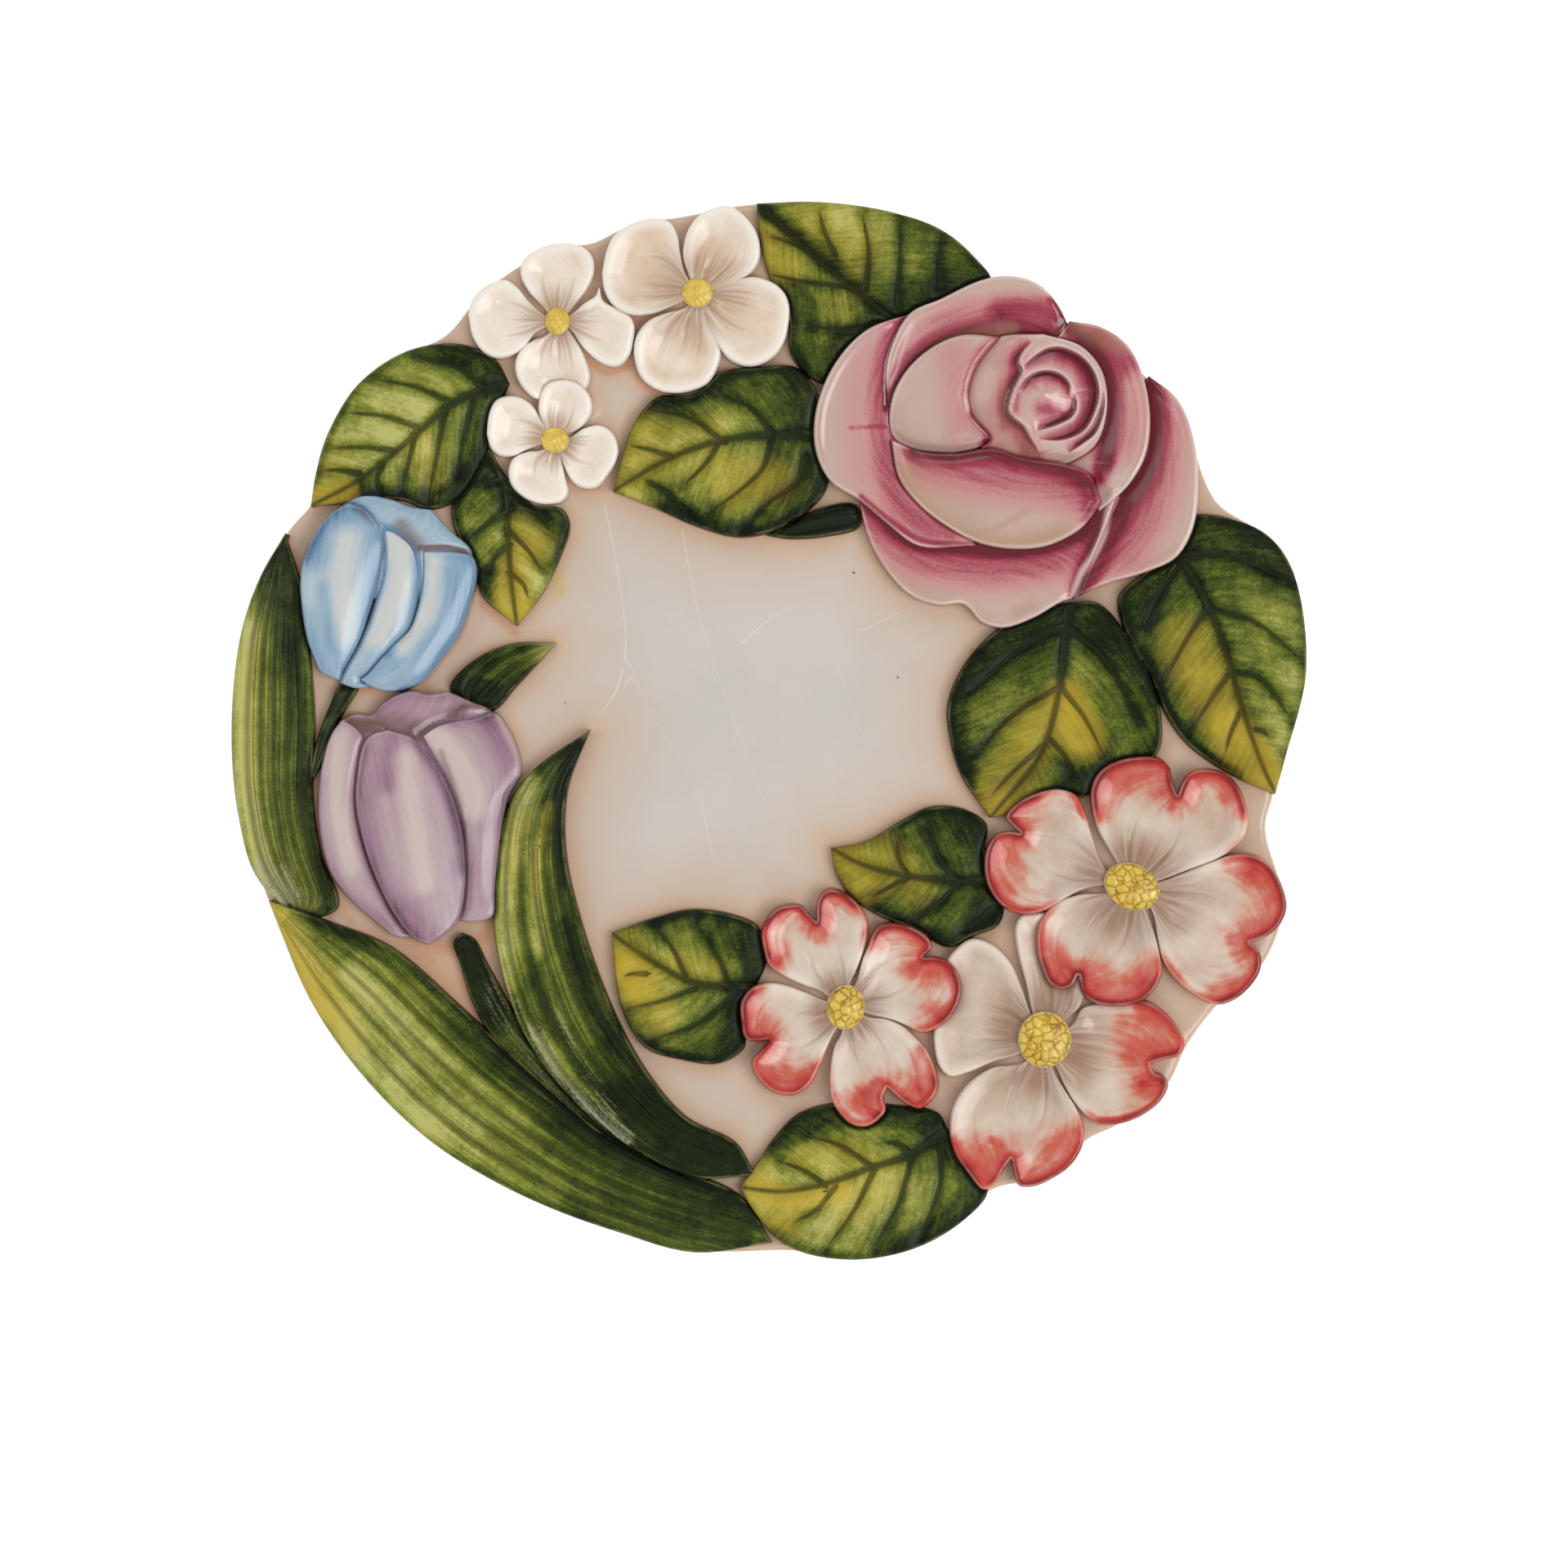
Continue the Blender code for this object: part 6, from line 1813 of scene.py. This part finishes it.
def blades(material):
    """Long blades with lengthwise ridges, and a furrow drawn dark between each two."""
    for name, shape in BLADES.items():
        lines = side_lines(shape)
        patch = Patch(lines, outlines_over(name), detail=BLADE_DETAIL)
        furrows = lengthwise(lines, BLADE_FURROWS[name])
        side, gap, half = lines_near(patch.place, furrows, [FURROW_WIDTHS] * len(furrows), fade_from=0.8)
        ripple = BLADE_RIPPLE * np.cos(3 * math.pi * patch.across)
        swell = BLADE_SWELL * (1 - patch.across**2) + 0.4 * ripple
        ridges = swell + BLADE_RIDGE - FURROW_DEPTH * hump(gap, FURROW_REACH)
        height = settled(shape.height + fullness(patch.along) * ridges, patch, SOFT_EDGE)
        marks = green_marks(name, patch, BLADE_DARK, BLADE_LIGHT_AND_HIGHLIGHT, BLADE_YELLOW, BLADE_BARE)
        nowhere = np.full(len(patch.place), FAR)
        marks.update(
            vein_side=side, vein_gap=gap, vein_half=half, rib_side=nowhere, rib_gap=nowhere, rib_half=0 * nowhere,
            grain_across=patch.across_mm * 1.3, grain_along=patch.along_mm * 0.45,
        )
        cast(name, [(patch, patch.corners(height), marks)], material)


def blossom(name, parts, material, button_material, creases, reds=()):
    """A blossom of four dished petals with soft raised rims, round a button."""
    centre = places_of(parts.centre)[0]
    outlines = [outline_of(side_lines(shape)) for shape in parts.petals]
    patches = []
    over_all = outlines_over(name)
    tan_reach = TAN_REACH[name]
    tan_start = 0.9 * parts.bead.long
    for number, shape in enumerate(parts.petals):
        lines = petal_lines(shape)
        patch = Patch(lines, over_all)
        away = np.hypot(*(patch.place - centre).T)
        reach = np.hypot(*(places_of(shape.tip)[0] - centre))
        share = (away / reach).clip(0.0, 1.0)
        rise = (parts.rim - parts.throat) * np.sqrt(share)
        rim = smooth_step(patch.depth, 1.0, 6.0)
        hollow = parts.dish * (rim * (0.6 + 0.4 * smooth_step(share, 0.1, 0.5))) * smooth_step(share, 0.1, 0.3)
        others = [outline for other, outline in enumerate(outlines) if other != number]
        beside = np.min([np.abs(depth_inside(patch.place, outline)) for outline in others], axis=0)
        drawn = lengthwise(lines, creases, *CREASE_ENDS)
        side, gap, half = lines_near(patch.place, drawn, [CREASE_WIDTHS] * len(drawn), fade_from=0.3)
        height = parts.throat + rise - hollow + 0.25 * hump(patch.depth, 2.2) - 0.45 * hump(gap, 0.8) * (1 - share)
        height = settled(height, patch, 0.6 + 0.5 * smooth_step(share, 0.4, 0.7))
        height = height - 0.2 * hump(beside, 0.6) * (share < 0.55)
        # The cover mark counts the neighbouring petals too, for the painted shade between them
        marks = {
            "depth": patch.depth, "cover": np.minimum(patch.cover, beside + 0.35 + 3 * smooth_step(share, 0.3, 0.7)),
            "warmth": np.full(len(away), tan_reach / WARM_REACH),
            "throat": 1 - smooth_step(away, tan_start, tan_start + reach * tan_reach),
            "red": wash(patch.place, reds), "vein_side": side, "vein_gap": gap, "vein_half": half,
            "grain_across": patch.across * 9.0 + PETALS_APART * number, "grain_along": away,
        }
        patches.append((patch, patch.corners(height), marks))
    cast(name, patches, material)
    button(f"{name}_button", centre, parts.bead, parts.throat, button_material)


def button(name, centre, bead, foot, material):
    """A flattened ball, its widest ring at the foot height and its top at the bead's."""
    bm = bmesh.new()
    bmesh.ops.create_uvsphere(bm, u_segments=64, v_segments=32, radius=1.0)
    bmesh.ops.recalc_face_normals(bm, faces=bm.faces)
    mesh = mesh_of(bm, name)
    ball = points_of(mesh)
    turn = math.radians(bead.turn)
    ground = float(face_height(math.hypot(*centre)))
    x, y = ball[:, 0] * bead.long, ball[:, 1] * bead.short
    rise = np.sqrt((1 - (1 - ball[:, 2].clip(0.0)) ** 2).clip(0.0)) * 0.5 + ball[:, 2] * 0.5
    rise = np.where(ball[:, 2] < 0, ball[:, 2], rise)
    lump = BEAD_LUMP * np.sin(x * 3.1) * np.sin(y * 3.4 + x) * (ball[:, 2] > 0.15)
    z = ground + foot + rise * (bead.top - foot) + lump * 0.5
    right = centre[0] + x * math.cos(turn) - y * math.sin(turn)
    far = centre[1] + x * math.sin(turn) + y * math.cos(turn)
    mesh.vertices.foreach_set("co", (np.column_stack([right, far, z]) * MM).reshape(-1))
    give(mesh, "height", ball[:, 2])
    return finish_piece(name, mesh, material)


def tulips(materials):
    """The tulips' petals, each rounded across and along."""
    for name, shape in TULIP_PETALS.items():
        lines = side_lines(shape)
        patch = Patch(lines, outlines_over(name))
        swell = TULIP_SWELL * (1 - patch.across**2) * np.sin(math.pi * patch.along)
        height = settled(shape.height + swell, patch, SOFT_EDGE)
        marks = {
            "depth": patch.depth, "cover": patch.cover,
            "tint": TINT_STRENGTH * paint(patch.place, widened(TULIP_TINT[name], TINT_SPREAD)),
            "pale": paint(patch.place, TULIP_PALE.get(name, ())),
            "brown": paint(patch.place, TULIP_BROWN_AND_SHADOW.get(name, ())),
            "grain_across": patch.across_mm * 1.2, "grain_along": patch.along_mm,
        }
        cast(name, [(patch, patch.corners(height), marks)], materials[name.split("_")[0]])


def bud_lips(places):
    """The bud's heart and lips: how far they lift its top, the crimson behind the lips, and their pale rims, partly a
    painted highlight.
    """
    away = np.hypot(*(places - places_of(HEART)).T)
    lift = sum(rise * hump(away, reach) for rise, reach in HEART_LIFTS)
    crimson, rim = np.zeros(len(places)), np.zeros(len(places))
    for rise, swell, hollow, line in BUD_LIPS:
        distance, side, share = nearest_on(places, smooth_line(line))
        full = fullness(share)
        above = smooth_step(distance * side, -0.35, 0.35)
        high = full * above * np.exp(-distance / swell)
        low = full * (1 - above) * np.exp(-distance / hollow)
        lift += LIP_LIFT * rise * (high - low)
        crimson = np.maximum(crimson, low)
        rim = np.maximum(rim, full * above * hump(distance, 1.0))
    return lift, crimson, rim


def rose(material):
    """The rose: petals that climb from the outside in, round the folded lips of its bud."""
    for name, petal in ROSE_PETALS.items():
        lines = side_lines(petal)
        in_bud = name == "rose_bud"
        patch = Patch(lines, outlines_over(name), detail=BUD_DETAIL if in_bud else SHEET_DETAIL)
        lift, crimson, rim = bud_lips(patch.place) if in_bud else np.zeros((3, len(patch.place)))
        slope = (petal.inner - petal.outer) * (patch.across + 1) / 2
        bulge = petal.bulge * (1 - patch.across**2)
        height = petal.outer + fullness(patch.along) * (slope + bulge) + lift
        height = height + 0.5 * hump(patch.depth - 1.2, 1.2) * smooth_step(patch.cover, 1.0, 4.0)
        height = settled(height, patch, 0.55, valley=ROSE_VALLEYS.get(name, 1.4), reach=5.0)
        marks = {
            "depth": patch.depth, "cover": patch.cover,
            "blush": np.maximum(paint(patch.place, ROSE_BLUSH[name]), BUD_CRIMSON * crimson),
            "tan": paint(patch.place, ROSE_TAN[name]), "lip": rim if in_bud else paint(patch.place, ROSE_RIDGE),
            "grain_across": patch.across_mm, "grain_along": patch.along_mm,
        }
        cast(name, [(patch, patch.corners(height), marks)], material)


# ---- The scene -----------------------------------------------------------------------------------------------------


def pale_floor():
    """White paper under the plate, with a faint glow that keeps it pale in every view."""
    bm = bmesh.new()
    bmesh.ops.create_grid(bm, x_segments=1, y_segments=1, size=FLOOR_SIZE)
    mesh = mesh_of(bm, "pale_floor")
    paper = bpy.data.materials.new("pale_floor")
    paper.use_nodes = True
    sockets = paper.node_tree.nodes["Principled BSDF"].inputs
    sockets["Base Color"].default_value = (0.93, 0.93, 0.93, 1.0)
    sockets["Roughness"].default_value = 0.6
    sockets["Emission Color"].default_value = (1.0, 1.0, 1.0, 1.0)
    sockets["Emission Strength"].default_value = FLOOR_GLOW
    mesh.materials.append(paper)
    floor = placed("pale_floor", mesh)


def soft_light(name, place, size, power):
    """A round light that faces the plate's middle."""
    data = bpy.data.lights.new(name, "AREA")
    data.shape = "DISK"
    data.size = size
    data.energy = power
    light = placed(name, data)
    light.location = place
    light.rotation_euler = (-Vector(place)).to_track_quat("-Z", "Y").to_euler()


def studio():
    """A pale floor, a dim room that the glaze mirrors, and soft lights all round, the strongest on the right."""
    pale_floor()
    world = bpy.data.worlds.new("soft_room")
    world.use_nodes = True
    room = world.node_tree.nodes["Background"].inputs
    room["Color"].default_value = (1.0, 1.0, 1.0, 1.0)
    room["Strength"].default_value = ROOM_LIGHT
    bpy.context.scene.world = world
    for name, (place, size, power) in SOFT_LIGHTS.items():
        soft_light(name, place, size, power)
    bpy.context.scene.view_settings.view_transform = "Standard"


def overhead_camera():
    """Straight above the plate, where the photograph was taken from."""
    data = bpy.data.cameras.new("camera")
    data.sensor_fit = "HORIZONTAL"
    data.sensor_width = FILM_WIDTH
    distance = CAMERA_HEIGHT - RIM_HEIGHT * MM
    data.lens = FILM_WIDTH * distance / FRAME_WIDTH
    data.clip_start = NEAREST_SEEN
    camera = placed("camera", data)
    camera.location = (*CAMERA_PLACE, CAMERA_HEIGHT)
    bpy.context.scene.camera = camera


def order_layers():
    """Every raised shape's outline, in the order in which they lie on each other, the lowest first."""
    shapes = {**LEAVES, **BLADES, **TULIP_PETALS, **ROSE_PETALS}
    for name in LAYER_ORDER:
        if name in shapes:
            LAYERS.append((name, outline_of(side_lines(shapes[name]))))
        else:
            parts = {**BLOSSOMS, **DOGWOODS}[name]
            LAYERS.extend((name, outline_of(side_lines(petal))) for petal in parts.petals)


def main():
    order_layers()
    studio()
    overhead_camera()
    dish()
    foot_ring()
    leaf_green = green_glaze("leaf_glaze", streaks=0.45, blotches=0.34, softness=0.25, drawn=0.95, halo=0.85)
    blade_green = green_glaze("blade_glaze", streaks=0.6, blotches=0.24, softness=0.45, drawn=0.68, halo=0.5)
    leaves(leaf_green)
    blades(blade_green)
    white = petal_glaze(
        "white_petal_glaze", pale=(248, 239, 226), mid=(224, 198, 170), tan=(180, 144, 112),
        crease=(152, 110, 80),
    )
    blush = petal_glaze(
        "blush_petal_glaze", pale=(232, 217, 201), mid=(189, 162, 137), tan=(144, 105, 78),
        crease=(146, 104, 76), red=True,
    )
    yellow = button_glaze("small_button_glaze", 0.7, 0.15)
    beaded = button_glaze("large_button_glaze", 0.45, 0.6)
    for name, parts in BLOSSOMS.items():
        blossom(name, parts, white, yellow, (-0.45, -0.05, 0.4))
    for name, parts in DOGWOODS.items():
        blossom(name, parts, blush, beaded, (-0.3, 0.25), DOGWOOD_RED[name])
    tulips({
        "blue": tulip_glaze(
            "blue_tulip_glaze", pale=(206, 208, 204), mid=(168, 188, 200), full=(122, 158, 186),
            deep=(66, 100, 134),
        ),
        "lilac": tulip_glaze(
            "lilac_tulip_glaze", pale=(206, 188, 182), mid=(182, 155, 161), full=(150, 114, 134),
            deep=(96, 66, 82),
        ),
    })
    rose(rose_glaze())


main()
